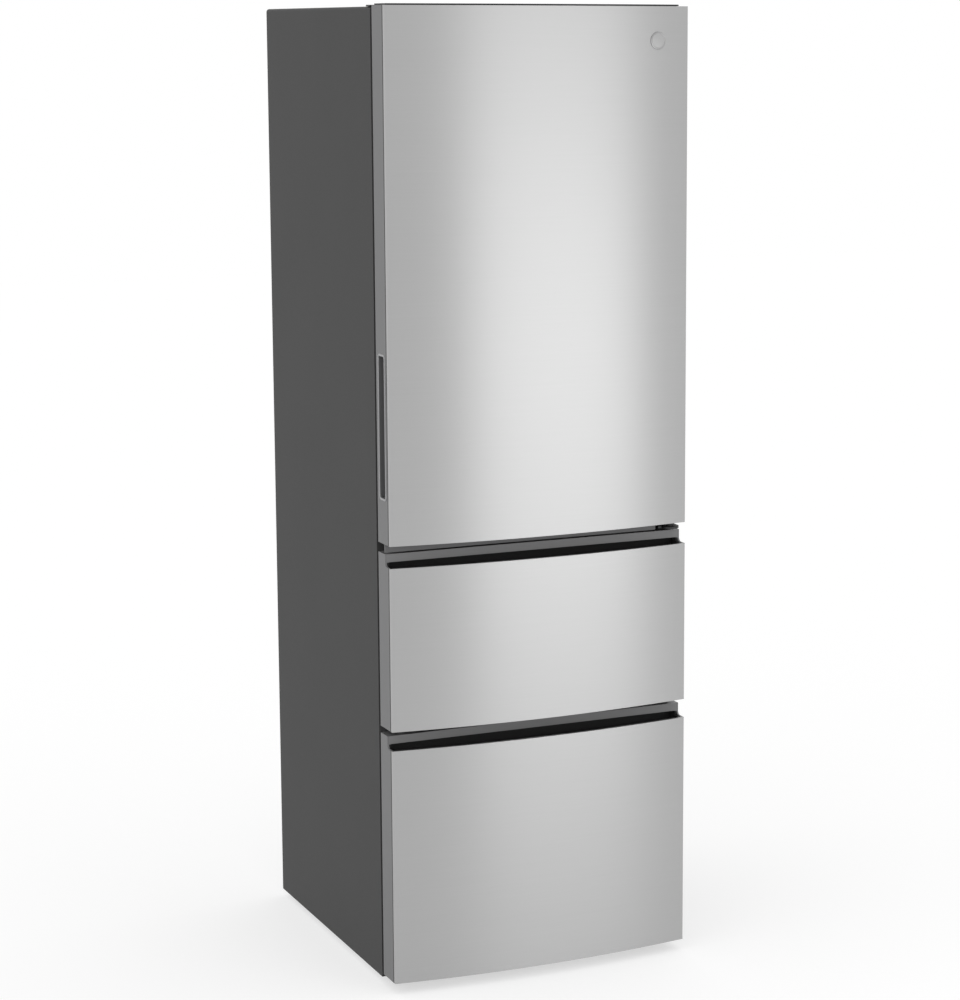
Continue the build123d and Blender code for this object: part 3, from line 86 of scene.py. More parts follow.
def add_node(tree, kind, settings=None, inputs=None):
    """Adds one node; an input is a value or the socket that feeds it."""
    made = tree.nodes.new(kind)
    for name, value in (settings or {}).items():
        setattr(made, name, value)
    for name, value in (inputs or {}).items():
        if isinstance(value, bpy.types.NodeSocket):
            tree.links.new(value, made.inputs[name])
        else:
            made.inputs[name].default_value = value
    return made


def emptied_tree(owner):
    """The node tree of a material or world, with nothing in it yet."""
    owner.use_nodes = True
    owner.node_tree.nodes.clear()
    return owner.node_tree


def new_material(name, **shader):
    """A material with its Principled shader, the object's coordinates and the tree to build in."""
    made = bpy.data.materials.new(name)
    tree = emptied_tree(made)
    surface = add_node(tree, "ShaderNodeBsdfPrincipled", inputs=shader)
    add_node(tree, "ShaderNodeOutputMaterial", inputs={"Surface": surface.outputs["BSDF"]})
    place = add_node(tree, "ShaderNodeTexCoord").outputs["Object"]
    return made, tree, surface, place


def pattern(tree, place, size_mm, stretch=(1.0, 1.0, 1.0), detail=2.0, roughness=0.5):
    """A noise whose lumps are size_mm across, longer along an axis whose stretch is over 1."""
    mapped = add_node(tree, "ShaderNodeMapping", inputs={
        "Vector": place, "Scale": [1 / share for share in stretch]})
    noise = add_node(tree, "ShaderNodeTexNoise", inputs={
        "Vector": mapped.outputs["Vector"], "Scale": 1 / (size_mm * MM), "Detail": detail,
        "Roughness": roughness})
    return noise.outputs["Fac"]


def vary(tree, surface, amount, colours=None, roughness=None, depth_mm=None, strength=1.0):
    """Lets a pattern from 0 to 1 vary the surface: its colour from one hex value to the other, its
    roughness from one value to the other, and its height by depth_mm."""
    if colours:
        low, high = (paint(colour) for colour in colours)
        mixed = add_node(tree, "ShaderNodeMix", {"data_type": "RGBA"}, {"Factor": amount, 6: low, 7: high})
        tree.links.new(mixed.outputs[2], surface.inputs["Base Color"])
    if roughness:
        spread = add_node(tree, "ShaderNodeMapRange", inputs={
            "Value": amount, "To Min": roughness[0], "To Max": roughness[1]})
        tree.links.new(spread.outputs["Result"], surface.inputs["Roughness"])
    if depth_mm:
        raised = add_node(tree, "ShaderNodeBump", inputs={
            "Strength": strength, "Distance": depth_mm * MM, "Height": amount})
        tree.links.new(raised.outputs["Normal"], surface.inputs["Normal"])


# Finishes --------------------------------------------------------------------------------------

def brushed_stainless_sheet():
    """Stainless sheet, belt brushed along its width: a silky grey with hair-fine level streaks, and
    highlights that run across them. The real lines are about 0.1 mm; they are drawn 0.8 mm apart so
    that they show."""
    made, tree, surface, place = new_material("brushed_stainless_sheet", **{
        "Metallic": 1.0, "Roughness": 0.36, "Anisotropic": 0.85, "Anisotropic Rotation": 0.25})
    streaks = pattern(
        tree, place, size_mm=0.8, stretch=(160.0, 160.0, 1.0), detail=3.0, roughness=0.6)
    vary(tree, surface, streaks, colours=("#A9A9A9", "#AFAFAF"), roughness=(0.34, 0.38),
         depth_mm=0.01, strength=0.2)
    tangent = add_node(tree, "ShaderNodeTangent", {"direction_type": "RADIAL", "axis": "Z"})
    tree.links.new(tangent.outputs["Tangent"], surface.inputs["Tangent"])
    return made


def textured_casing_paint():
    """Polyester coil coating on the folded casing: a dark grey satin that breaks every reflection up
    in an orange peel, about 2 mm from crest to crest."""
    made, tree, surface, place = new_material("textured_casing_paint", **{
        "Roughness": 0.6, "Specular IOR Level": 0.25})
    cloud = pattern(tree, place, size_mm=180.0)
    vary(tree, surface, cloud, colours=("#404040", "#444444"))
    peel = pattern(tree, place, size_mm=2.0)
    vary(tree, surface, peel, roughness=(0.55, 0.66), depth_mm=0.03, strength=0.4)
    return made


def moulded_plastic(name, colours, roughness, **extra):
    """Injection-moulded plastic: one even colour with a faint cloud in it, and a fine grain from the
    tool that softens its shine. The real grain is about 0.1 mm; it is drawn 0.9 mm across so that it
    shows."""
    made, tree, surface, place = new_material(name, Roughness=roughness, **extra)
    cloud = pattern(tree, place, size_mm=60.0)
    vary(tree, surface, cloud, colours=colours)
    grain = pattern(tree, place, size_mm=0.9, detail=1.0)
    spread = (roughness - 0.05, roughness + 0.05)
    vary(tree, surface, grain, roughness=spread, depth_mm=0.02, strength=0.35)
    return made


def pull_plastic(name, strip_low_mm):
    """ABS of a drawer's pull: a satin grey strip above strip_low_mm, and under it the finger pocket, left
    matte and painted nearly black as painted shade for the pocket's depth."""
    made, tree, surface, place = new_material(name, Roughness=0.4)
    fade_below, fade_above = 1.5, 0.5
    height = add_node(tree, "ShaderNodeSeparateXYZ", inputs={"Vector": place}).outputs["Z"]
    strip_over_pocket_shade = add_node(tree, "ShaderNodeMapRange", {"interpolation_type": "SMOOTHSTEP"}, {
        "Value": height, "From Min": (strip_low_mm - fade_below) * MM,
        "From Max": (strip_low_mm + fade_above) * MM}).outputs["Result"]
    cloud = pattern(tree, place, size_mm=60.0)
    satin = add_node(tree, "ShaderNodeMix", {"data_type": "RGBA"}, {
        "Factor": cloud, 6: paint("#747475"), 7: paint("#797979")})
    # Under the strip the colour is nearly black: painted shade in the finger pocket.
    colour = add_node(tree, "ShaderNodeMix", {"data_type": "RGBA"}, {
        "Factor": strip_over_pocket_shade, 6: paint("#1D1D1D"), 7: satin.outputs[2]})
    tree.links.new(colour.outputs[2], surface.inputs["Base Color"])
    vary(tree, surface, strip_over_pocket_shade, roughness=(0.85, 0.4))
    grain = pattern(tree, place, size_mm=0.9, detail=1.0)
    vary(tree, surface, grain, depth_mm=0.03, strength=0.35)
    return made


def formed_liner_plastic():
    """Vacuum-formed polystyrene liner: a faintly cool white gloss that ripples where it was drawn."""
    made, tree, surface, place = new_material("formed_liner_polystyrene", **{
        "Roughness": 0.24, "IOR": 1.59})
    ripple = pattern(tree, place, size_mm=45.0)
    vary(tree, surface, ripple, colours=("#E9EAEA", "#EEEFEF"), depth_mm=0.12, strength=0.25)
    return made


def clear_moulded_plastic():
    """Clear injection-moulded polystyrene: nearly colourless, with edges that look cool grey. Its index
    is lower than the real 1.59, so that the thin walls stay clear."""
    made, tree, surface, place = new_material("clear_moulded_polystyrene", **{
        "Roughness": 0.06, "IOR": 1.2, "Transmission Weight": 0.92})
    flow = pattern(tree, place, size_mm=30.0)
    vary(tree, surface, flow, colours=("#F1F4F5", "#F8FAFA"), depth_mm=0.05, strength=0.2)
    return made


def toughened_shelf_glass():
    """Toughened float glass: clear, with the faint green that shows in its ground edge. Its index is
    lower than the real 1.52, so that the pane stays clear."""
    made, tree, surface, place = new_material("toughened_float_glass", **{
        "Roughness": 0.02, "IOR": 1.3, "Transmission Weight": 0.95})
    wave = pattern(tree, place, size_mm=80.0)
    vary(tree, surface, wave, colours=("#E9F4F0", "#EFF8F5"), depth_mm=0.02, strength=0.1)
    return made


def galvanised_sheet():
    """Hot-dip galvanised sheet: a dull zinc grey with crystal flowers about 7 mm across, each with a
    shine of its own."""
    made, tree, surface, place = new_material("galvanised_sheet", **{"Metallic": 1.0, "Roughness": 0.45})
    flower_mm = 7
    flowers = add_node(tree, "ShaderNodeTexVoronoi", inputs={
        "Vector": place, "Scale": 1 / (flower_mm * MM)})
    shade = add_node(tree, "ShaderNodeSeparateColor", inputs={"Color": flowers.outputs["Color"]})
    vary(tree, surface, shade.outputs["Red"], colours=("#8F9192", "#9FA1A2"), roughness=(0.36, 0.52))
    return made


def bare_metal(name, colours, roughness, mark_mm, stretch=(1.0, 1.0, 1.0)):
    """Plated or mill-finished metal: a grey shine with the faint marks of its making, which run along
    an axis whose stretch is over 1."""
    made, tree, surface, place = new_material(name, **{"Metallic": 1.0, "Roughness": roughness})
    marks = pattern(tree, place, mark_mm, stretch=stretch)
    vary(tree, surface, marks, colours=colours, roughness=(roughness - 0.06, roughness + 0.06))
    return made


def sprayed_paint(name, colours, roughness):
    """Black paint or enamel on steel: a satin coat with specks about 1.2 mm across under it."""
    made, tree, surface, place = new_material(name, Roughness=roughness)
    specks = pattern(tree, place, size_mm=1.2, detail=3.0, roughness=0.7)
    spread = (roughness - 0.08, roughness + 0.1)
    vary(tree, surface, specks, colours=colours, roughness=spread, depth_mm=0.04, strength=0.3)
    return made


def cut_foam():
    """Rigid polyurethane foam: pale straw and dull. Its cells are about 0.6 mm; they are drawn 1.5 mm
    across so that they show."""
    made, tree, surface, place = new_material("rigid_polyurethane_foam", Roughness=0.9)
    cell_mm = 1.5
    cells = add_node(tree, "ShaderNodeTexVoronoi", inputs={"Vector": place, "Scale": 1 / (cell_mm * MM)})
    depth = cells.outputs["Distance"]
    vary(tree, surface, depth, colours=("#D8C691", "#EADCB0"), depth_mm=0.3, strength=0.6)
    return made


def magnetic_seal_vinyl():
    """Extruded soft vinyl round the front's magnet: dark grey and matte, with drag marks about 1.5 mm
    across."""
    made, tree, surface, place = new_material("extruded_seal_vinyl", Roughness=0.6)
    drag = pattern(tree, place, size_mm=1.5)
    vary(tree, surface, drag, colours=("#38393A", "#404142"), depth_mm=0.04, strength=0.3)
    return made


# By the frame's material slot, or by the name of a node that differs from its slot. Each function gets the
# material's name, its darkest and lightest colour, and its roughness.
finishes = {
    "steel_front": brushed_stainless_sheet(),
    "casing_paint": textured_casing_paint(),
    # Side walls of the fronts: a mid grey satin, darker than the steel that they stand behind.
    "edge_plastic": moulded_plastic("satin_abs_edge", ("#6C6C6D", "#717172"), 0.42),
    # Lip of the grip slot: pale grey, a painted highlight for the light that its rounded edge catches, so
    # that it draws the slot's outline.
    "lip_plastic": moulded_plastic("pale_abs_lip_painted_highlight", ("#A2A2A3", "#A8A8A9"), 0.36),
    # Cup of the grip: mid grey and dull, dark with its own shade.
    "door_handle_cup": moulded_plastic("satin_abs_grip_cup", ("#6A6A6B", "#6F6F70"), 0.5),
    # Cap under the door: a dark grey line in the gap.
    "cap_plastic": moulded_plastic("satin_abs_cap", ("#5A5A5B", "#5F5F60"), 0.45),
    # Cap on the door: nearly black, level with the strip behind it.
    "door_top_cap": moulded_plastic("matte_abs_top_cap", ("#1D1D1E", "#222223"), 0.5),
    # Front strip of the casing's top and spacers: matte black. The beads in the steel's edge grooves are
    # matte black too, as painted shade for the grooves.
    "black_plastic": moulded_plastic("matte_abs_black", ("#1B1B1C", "#202021"), 0.5),
    "liner_plastic": formed_liner_plastic(),
    "clear_plastic": clear_moulded_plastic(),
    "shelf_glass": toughened_shelf_glass(),
    # Trims of the panes: a bright, pale grey gloss.
    "shelf_trim": moulded_plastic("gloss_abs_trim", ("#DCDEDF", "#E3E4E5"), 0.28),
    "seal_rubber": magnetic_seal_vinyl(),
    "foam": cut_foam(),
    "galvanised": galvanised_sheet(),
    # Powder coat of both hinges: black satin, so that they sink into the gaps.
    "hinge_steel": sprayed_paint("powder_coated_hinge", ("#161617", "#1E1E1F"), 0.5),
    # Zinc plate of screws and dryer: a small cool glint.
    "screw_steel": bare_metal("zinc_plated_screw", ("#8A8C8E", "#A0A2A4"), 0.32, mark_mm=0.6),
    # Satin steel of the roundel: a little brighter than the sheet round it.
    "roundel_steel": bare_metal("pressed_satin_steel", ("#A2A2A2", "#AAAAAA"), 0.3, mark_mm=0.8),
    # Aluminium of the evaporator: pale, with the lines of its drawing along the tubes.
    "coil_aluminium": bare_metal(
        "mill_finish_aluminium", ("#B4B6B8", "#C6C8CA"), 0.35, mark_mm=0.8, stretch=(30.0, 1.0, 1.0)),
    # Dipped enamel of the condenser and the pipes: black, with a soft shine on every bend.
    "coil_black": sprayed_paint("dipped_coil_enamel", ("#171718", "#222223"), 0.48),
    # Enamel of the compressor's shell: black and glossier than the coil.
    "compressor_paint": sprayed_paint("compressor_enamel", ("#141415", "#1C1C1E"), 0.36),
    # Glass-filled nylon of the fans: a dry dark grey.
    "fan_plastic": moulded_plastic("glass_filled_nylon_fan", ("#2A2B2C", "#323334"), 0.5),
    # Polyester shell of the motors: a dull mid grey.
    "motor_plastic": moulded_plastic("polyester_motor_shell", ("#8F9193", "#989A9C"), 0.5),
    # Nylon of the rollers: charcoal, waxy.
    "roller_nylon": moulded_plastic("black_nylon_roller", ("#3A3B3C", "#434445"), 0.5),
    # Nylon of the feet: black and dull.
    "foot_plastic": moulded_plastic("black_nylon_foot", ("#1F1F20", "#262627"), 0.55),
    # White ABS of the console and duct cover: a shade greyer and duller than the liner.
    "console_plastic": moulded_plastic("white_abs_console", ("#DEE0E1", "#E5E7E8"), 0.35),
    # Grey ABS of the buttons: stands out from the white console.
    "button_plastic": moulded_plastic("grey_abs_button", ("#AEB0B3", "#B6B8BB"), 0.35),
    # Opal acrylic over the lamp: milky, letting some light through.
    "lamp_lens": moulded_plastic(
        "opal_acrylic_lens", ("#F0F3F4", "#F7F9FA"), 0.3, **{"Transmission Weight": 0.35, "IOR": 1.49}),
}

# The grey strip reaches this far down from the top of its pull; below it the pocket is painted dark as
# shade.
strip_height_mm = 15.0
for body in ("upper_drawer", "lower_drawer"):
    top_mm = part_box(body + "_pull")[1].z / MM
    finishes[body + "_pull"] = pull_plastic("satin_abs_" + body + "_pull", top_mm - strip_height_mm)

slot_of_node = {entry["node"]: entry["material_slot"] for entry in frame["record"]["subparts"]}
for name, node in nodes.items():
    node.data.materials.clear()
    node.data.materials.append(finishes.get(name) or finishes[slot_of_node[name]])


# Helpers for pieces ----------------------------------------------------------------------------

def add_piece(name, mesh, body, finish=None):
    """A new piece at the origin that rides on a body; finish is given where no tree has set one."""
    mesh.name = name
    piece = bpy.data.objects.new(name, mesh)
    bpy.context.scene.collection.objects.link(piece)
    if finish:
        mesh.materials.clear()
        mesh.materials.append(finish)
    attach(piece, body)
    return piece


def loose_boxes(name):
    """(lowest, highest) corner of each separate solid of a CAD node."""
    same_place = 1e-6
    solids = bmesh.new()
    solids.from_mesh(nodes[name].data)
    bmesh.ops.remove_doubles(solids, verts=solids.verts, dist=same_place)
    waiting, boxes = set(solids.verts), []
    while waiting:
        found = [waiting.pop()]
        for vert in found:
            near = {edge.other_vert(vert) for edge in vert.link_edges} & waiting
            waiting -= near
            found.extend(near)
        places = [vert.co for vert in found]
        boxes.append(tuple(
            Vector([pick(place[axis] for place in places) for axis in range(3)]) for pick in (min, max)))
    solids.free()
    return sorted(boxes, key=lambda pair: tuple(pair[0]))


def turn_rings(solid, outline_mm, sides):
    """Turns outline_mm, pairs of radius and height in order, about Z. Returns its last ring."""
    rings = []
    for radius, height in outline_mm:
        turns = [2 * math.pi * i / sides for i in range(sides)] if radius else [0.0]
        rings.append([solid.verts.new((
            radius * MM * math.cos(turn), radius * MM * math.sin(turn), height * MM)) for turn in turns])
    for low, high in zip(rings, rings[1:]):
        for i in range(sides):
            corners = [low[i % len(low)], low[(i + 1) % len(low)],
                       high[(i + 1) % len(high)], high[i % len(high)]]
            solid.faces.new(list(dict.fromkeys(corners)))
    return rings[-1]


def closed_mesh(name, solid, smooth_below=None):
    """A mesh of the finished solid, faces outward, smooth where they meet below an angle in degrees."""
    bmesh.ops.recalc_face_normals(solid, faces=solid.faces)
    if smooth_below:
        for face in solid.faces:
            face.smooth = True
        for edge in solid.edges:
            edge.smooth = edge.calc_face_angle(0.0) < math.radians(smooth_below)
    mesh = bpy.data.meshes.new(name)
    solid.to_mesh(mesh)
    solid.free()
    return mesh


def screw_mesh(name, outline_mm, arm_mm, width_mm, depth_mm):
    """A turned screw along Z with a cross recess in its head, whose outline ends at the recess' rim."""
    sides, taper, smooth_below = 24, 0.7, 40.0
    solid = bmesh.new()
    rim = turn_rings(solid, outline_mm, sides)
    top, arm, half = outline_mm[-1][1], arm_mm, width_mm / 2
    cross = [(arm, -half), (arm, half), (half, half), (half, arm), (-half, arm), (-half, half),
             (-arm, half), (-arm, -half), (-half, -half), (-half, -arm), (half, -arm), (half, -half)]
    upper = [solid.verts.new((x * MM, y * MM, top * MM)) for x, y in cross]
    lower = [solid.verts.new((taper * x * MM, taper * y * MM, (top - depth_mm) * MM)) for x, y in cross]
    ring = [solid.edges.get((rim[i - 1], rim[i])) for i in range(len(rim))]
    ring += [solid.edges.new((upper[i - 1], upper[i])) for i in range(len(upper))]
    bmesh.ops.triangle_fill(solid, edges=ring, use_beauty=True)
    for i in range(len(cross)):
        solid.faces.new((upper[i - 1], upper[i], lower[i], lower[i - 1]))
    solid.faces.new(lower)
    return closed_mesh(name, solid, smooth_below)


def scratch_object(name, data):
    """An object that only helps to make a piece, and is removed once it has."""
    made = bpy.data.objects.new(name, data)
    bpy.context.scene.collection.objects.link(made)
    return made


def new_tree(name, sockets):
    """A geometry tree with its geometry output, and the sockets of its named inputs."""
    tree = bpy.data.node_groups.new(name, "GeometryNodeTree")
    tree.interface.new_socket("Geometry", in_out="INPUT", socket_type="NodeSocketGeometry")
    for title, kind in sockets.items():
        tree.interface.new_socket(title, in_out="INPUT", socket_type=kind)
    tree.interface.new_socket("Geometry", in_out="OUTPUT", socket_type="NodeSocketGeometry")
    return tree, add_node(tree, "NodeGroupInput").outputs


def close_tree(tree, geometry, finish):
    """Realises the instances, gives them their material and puts them out."""
    real = add_node(tree, "GeometryNodeRealizeInstances", inputs={"Geometry": geometry})
    painted = add_node(tree, "GeometryNodeSetMaterial", inputs={
        "Geometry": real.outputs["Geometry"], "Material": finish})
    add_node(tree, "NodeGroupOutput", inputs={"Geometry": painted.outputs["Geometry"]})


def grown(tree, start, values):
    """The plain mesh that a geometry tree makes on the object start, which is then removed. The tree's
    inputs are set by their sockets' identifiers."""
    modifier = start.modifiers.new("grown", "NODES")
    modifier.node_group = tree
    sockets = {item.name: item.identifier for item in tree.interface.items_tree if item.in_out == "INPUT"}
    for title, value in values.items():
        modifier[sockets[title]] = value
    bpy.context.view_layer.update()
    evaluated = start.evaluated_get(bpy.context.evaluated_depsgraph_get())
    mesh = bpy.data.meshes.new_from_object(evaluated)
    bpy.data.objects.remove(start)
    return mesh


def strip_tree():
    """A moulded or extruded strip: a section carried round a rectangle with rounded corners."""
    tree, given = new_tree("strip_round_opening", {
        "Width": "NodeSocketFloat", "Height": "NodeSocketFloat", "Corner": "NodeSocketFloat",
        "Section": "NodeSocketObject", "Turn": "NodeSocketVector", "Centre": "NodeSocketVector",
        "Finish": "NodeSocketMaterial"})
    corner_points = 8
    path = add_node(tree, "GeometryNodeCurvePrimitiveQuadrilateral", inputs={
        "Width": given["Width"], "Height": given["Height"]})
    path = add_node(tree, "GeometryNodeFilletCurve", {"mode": "POLY"}, {
        "Curve": path.outputs["Curve"], "Count": corner_points, "Radius": given["Corner"]})
    path = add_node(tree, "GeometryNodeSetCurveNormal", {"mode": "Z_UP"}, {"Curve": path.outputs["Curve"]})
    section = add_node(tree, "GeometryNodeObjectInfo", inputs={"Object": given["Section"]})
    swept = add_node(tree, "GeometryNodeCurveToMesh", inputs={
        "Curve": path.outputs["Curve"], "Profile Curve": section.outputs["Geometry"]})
    placed = add_node(tree, "GeometryNodeTransform", inputs={
        "Geometry": swept.outputs["Mesh"], "Translation": given["Centre"], "Rotation": given["Turn"]})
    close_tree(tree, placed.outputs["Geometry"], given["Finish"])
    return tree


def section_curve(name, points_mm):
    """A closed section in the XY plane: x across the strip, y out of its opening."""
    curve = bpy.data.curves.new(name, "CURVE")
    curve.dimensions = "3D"
    line = curve.splines.new("POLY")
    line.points.add(len(points_mm) - 1)
    for point, (across, out) in zip(line.points, points_mm):
        point.co = (across * MM, out * MM, 0, 1)
    line.use_cyclic_u = True
    return scratch_object(name, curve)


def strip_mesh(tree, section, size, centre, corner_mm, turn, finish):
    """The strip whose middle line runs round a rectangle of this size, turned to face out of it."""
    return grown(tree, scratch_object("strip_start", bpy.data.meshes.new("strip_start")), {
        "Width": size[0], "Height": size[1], "Corner": corner_mm * MM, "Section": section, "Turn": turn,
        "Centre": centre, "Finish": finish})


def fastener_tree():
    """Fasteners: the head object set on each point, its axis along the point's own facing."""
    tree, given = new_tree("fasteners_on_seats", {
        "Head": "NodeSocketObject", "Finish": "NodeSocketMaterial"})
    facing = add_node(tree, "GeometryNodeInputNamedAttribute", {"data_type": "FLOAT_VECTOR"}, {
        "Name": "facing"})
    turned = add_node(tree, "FunctionNodeAlignRotationToVector", {"axis": "Z"}, {
        "Vector": facing.outputs["Attribute"]})
    head = add_node(tree, "GeometryNodeObjectInfo", inputs={"Object": given["Head"]})
    placed = add_node(tree, "GeometryNodeInstanceOnPoints", inputs={
        "Points": given["Geometry"], "Instance": head.outputs["Geometry"],
        "Rotation": turned.outputs["Rotation"]})
    close_tree(tree, placed.outputs["Instances"], given["Finish"])
    return tree


def seats_mesh(seats):
    """Points at the seats, each with the direction that its fastener faces."""
    mesh = bpy.data.meshes.new("seats")
    mesh.from_pydata([place for place, facing in seats], [], [])
    facing = mesh.attributes.new("facing", "FLOAT_VECTOR", "POINT")
    facing.data.foreach_set("vector", [value for place, direction in seats for value in direction])
    return mesh


def pipe_tree():
    """Bent tube: a round section carried along each route, with every corner bent to one radius."""
    tree, given = new_tree("tube_along_runs", {
        "Radius": "NodeSocketFloat", "Bend": "NodeSocketFloat", "Finish": "NodeSocketMaterial"})
    bend_points, sides = 6, 12
    path = add_node(tree, "GeometryNodeMeshToCurve", inputs={"Mesh": given["Geometry"]})
    path = add_node(tree, "GeometryNodeFilletCurve", {"mode": "POLY"}, {
        "Curve": path.outputs["Curve"], "Count": bend_points, "Radius": given["Bend"],
        "Limit Radius": True})
    section = add_node(tree, "GeometryNodeCurvePrimitiveCircle", inputs={
        "Resolution": sides, "Radius": given["Radius"]})
    swept = add_node(tree, "GeometryNodeCurveToMesh", inputs={
        "Curve": path.outputs["Curve"], "Profile Curve": section.outputs["Curve"], "Fill Caps": True})
    smooth = add_node(tree, "GeometryNodeSetShadeSmooth", inputs={"Geometry": swept.outputs["Mesh"]})
    close_tree(tree, smooth.outputs["Geometry"], given["Finish"])
    return tree


def routes_mesh(routes_mm):
    """Each route as a chain of edges."""
    points, runs = [], []
    for route in routes_mm:
        runs += [(len(points) + i, len(points) + i + 1) for i in range(len(route) - 1)]
        points += [Vector(point) * MM for point in route]
    mesh = bpy.data.meshes.new("routes")
    mesh.from_pydata(points, runs, [])
    return mesh


def groove_shade_bead_mesh(name, low, high):
    """Two upright beads, one at each side of a steel sheet that reaches from low to high, to be made dark
    as painted shade in the groove: each starts inside the side wall and stands a little proud of it, with
    its outer corners cut off."""
    back, front = -0.3056, -0.3082
    inside, proud, cut, end_margin = 0.002, 0.0003, 0.0003, 0.0004
    beads = bmesh.new()
    for side in (low.x, high.x):
        out = math.copysign(1.0, side)
        section = [(side - inside * out, front), (side + proud * out, front + cut),
                   (side + proud * out, back - cut), (side - inside * out, back)]
        bottom, top = [[beads.verts.new((x, y, z)) for x, y in section]
                       for z in (low.z + end_margin, high.z - end_margin)]
        for i in range(len(section)):
            beads.faces.new((bottom[i - 1], bottom[i], top[i], top[i - 1]))
        beads.faces.new(bottom)
        beads.faces.new(top)
    return closed_mesh(name, beads)


# Pieces with more detail than the frame carries ------------------------------------------------

FRONTWARD = (QUARTER_TURN, 0.0, 0.0)
LEFTWARD = (QUARTER_TURN, 0.0, QUARTER_TURN)
strips, fasteners = strip_tree(), fastener_tree()

# Magnetic seals: a flat foot, a folded bellows and the magnet's sleeve.
seal_half_width, seal_corner = 7.0, 9.0
seal_section = section_curve("seal_section", [
    (-7, 0), (7, 0), (7, 1.3), (4.2, 1.8), (5.7, 3.0), (3.9, 3.9), (5.3, 4.6), (5.3, 7.2), (4.8, 7.7),
    (-4.8, 7.7), (-5.3, 7.2), (-5.3, 4.6), (-3.9, 3.9), (-5.7, 3.0), (-4.2, 1.8), (-7, 1.3)])
for body in FRONTS:
    low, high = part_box(body + "_gasket")
    inset = Vector((seal_half_width * MM, 0, seal_half_width * MM))
    centre = Vector(((low.x + high.x) / 2, low.y, (low.z + high.z) / 2))
    mesh = strip_mesh(
        strips, seal_section, (high - low - 2 * inset).xz, centre, seal_corner, FRONTWARD,
        finishes["seal_rubber"])
    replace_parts(add_piece(body + "_bellows_seal", mesh, body), body + "_gasket")

# The moulded lip round the grip slot, whose opening in the door's left side these two corners bound.
slot_low, slot_high = Vector((-0.297, -0.2955, 0.925)), Vector((-0.297, -0.2685, 1.182))
lip_width, lip_corner = 4.0 * MM, 6.0
lip_section = section_curve("grip_lip_section", [
    (-2.0, -0.4), (2.0, -0.4), (2.0, 0.2), (1.2, 1.0), (0.4, 1.2), (-0.4, 1.2), (-1.2, 1.0), (-2.0, 0.2)])
lip_size = (slot_high - slot_low).yz + Vector((lip_width, lip_width))
mesh = strip_mesh(
    strips, lip_section, lip_size, (slot_low + slot_high) / 2, lip_corner, LEFTWARD,
    finishes["lip_plastic"])
add_piece("door_grip_lip", mesh, "door")

# Black beads in the groove between each steel sheet's return and the plastic behind it: painted shade,
# dark pieces put where the groove has only its shadow.
for body in FRONTS:
    mesh = groove_shade_bead_mesh(body + "_edge_beads", *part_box(body + "_skin"))
    add_piece(body + "_edge_beads", mesh, body, finishes["black_plastic"])

# Screws: dome heads on the rear cover, countersunk ones in both hinges, all with a cross recess.
dome_height, between_hinges = 2.0 * MM, 1.0
dome = scratch_object("dome_head", screw_mesh("dome_head", [
    (0, -1.5), (1.9, -1.5), (1.9, 0.1), (3.99, 0.1), (3.99, 0.8), (3.5, 1.5), (2.7, 1.85), (2.1, 2.0)],
    arm_mm=1.7, width_mm=0.8, depth_mm=1.1))
sunk = scratch_object("sunk_head", screw_mesh("sunk_head", [
    (0, -3.0), (2.2, -3.0), (2.2, -2.4), (4.6, -0.3), (4.99, 0.0), (3.2, 0.0)],
    arm_mm=2.5, width_mm=1.0, depth_mm=1.5))
dome_seats, sunk_seats = [], []
for low, high in loose_boxes("screws"):
    middle = (low + high) / 2
    if middle.y > 0:
        dome_seats.append(((middle.x, high.y - dome_height, middle.z), (0, 1, 0)))
    elif middle.z > between_hinges:
        sunk_seats.append(((middle.x, middle.y, high.z), (0, 0, 1)))
    else:
        sunk_seats.append(((middle.x, low.y, middle.z), (0, -1, 0)))
for name, head, seats, slot in (
        ("cover_screws", dome, dome_seats, "screw_steel"),
        ("hinge_screws", sunk, sunk_seats, "hinge_steel")):
    mesh = grown(fasteners, scratch_object("seats", seats_mesh(seats)), {
        "Head": head, "Finish": finishes[slot]})
    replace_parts(add_piece(name, mesh, "cabinet"), "screws")

for scratch in (seal_section, lip_section, dome, sunk):
    bpy.data.objects.remove(scratch)

# Refrigerant pipes of the machine compartment: discharge, suction, and the liquid line, which stops at
# one end of the filter dryer and goes on from the other.
pipe_radius, pipe_bend = 3.0 * MM, 9.0 * MM
pipe_routes_mm = [
    [(-85, 246, 140), (-50, 246, 140), (-50, 246, 175), (92, 246, 175), (92, 246, 152)],
    [(-188, 300, 206), (-188, 300, 188), (-150, 270, 188), (-150, 270, 158)],
    [(195, 246, 152), (195, 246, 182), (195, 298, 182), (138, 298, 182)],
    [(52, 298, 182), (30, 298, 182), (30, 298, 206)]]
mesh = grown(pipe_tree(), scratch_object("routes", routes_mesh(pipe_routes_mm)), {
    "Radius": pipe_radius, "Bend": pipe_bend, "Finish": finishes["coil_black"]})
add_piece("refrigerant_pipes", mesh, "cabinet")

# The filter dryer: a tube spun down at both ends, with a crimp groove near each.
dryer_end, dryer_sides, dryer_smooth = (0.050, 0.298, 0.182), 24, 35.0
dryer = bmesh.new()
turn_rings(dryer, [
    (0, 0), (4.2, 0), (4.2, 8), (9.0, 16), (9.0, 22), (8.4, 23), (9.0, 24), (9.0, 66), (8.4, 67),
    (9.0, 68), (9.0, 74), (4.2, 82), (4.2, 90), (0, 90)], dryer_sides)
mesh = closed_mesh("filter_dryer", dryer, dryer_smooth)
mesh.transform(Matrix.Translation(dryer_end) @ Matrix.Rotation(QUARTER_TURN, 4, "Y"))
add_piece("filter_dryer", mesh, "cabinet", finishes["screw_steel"])

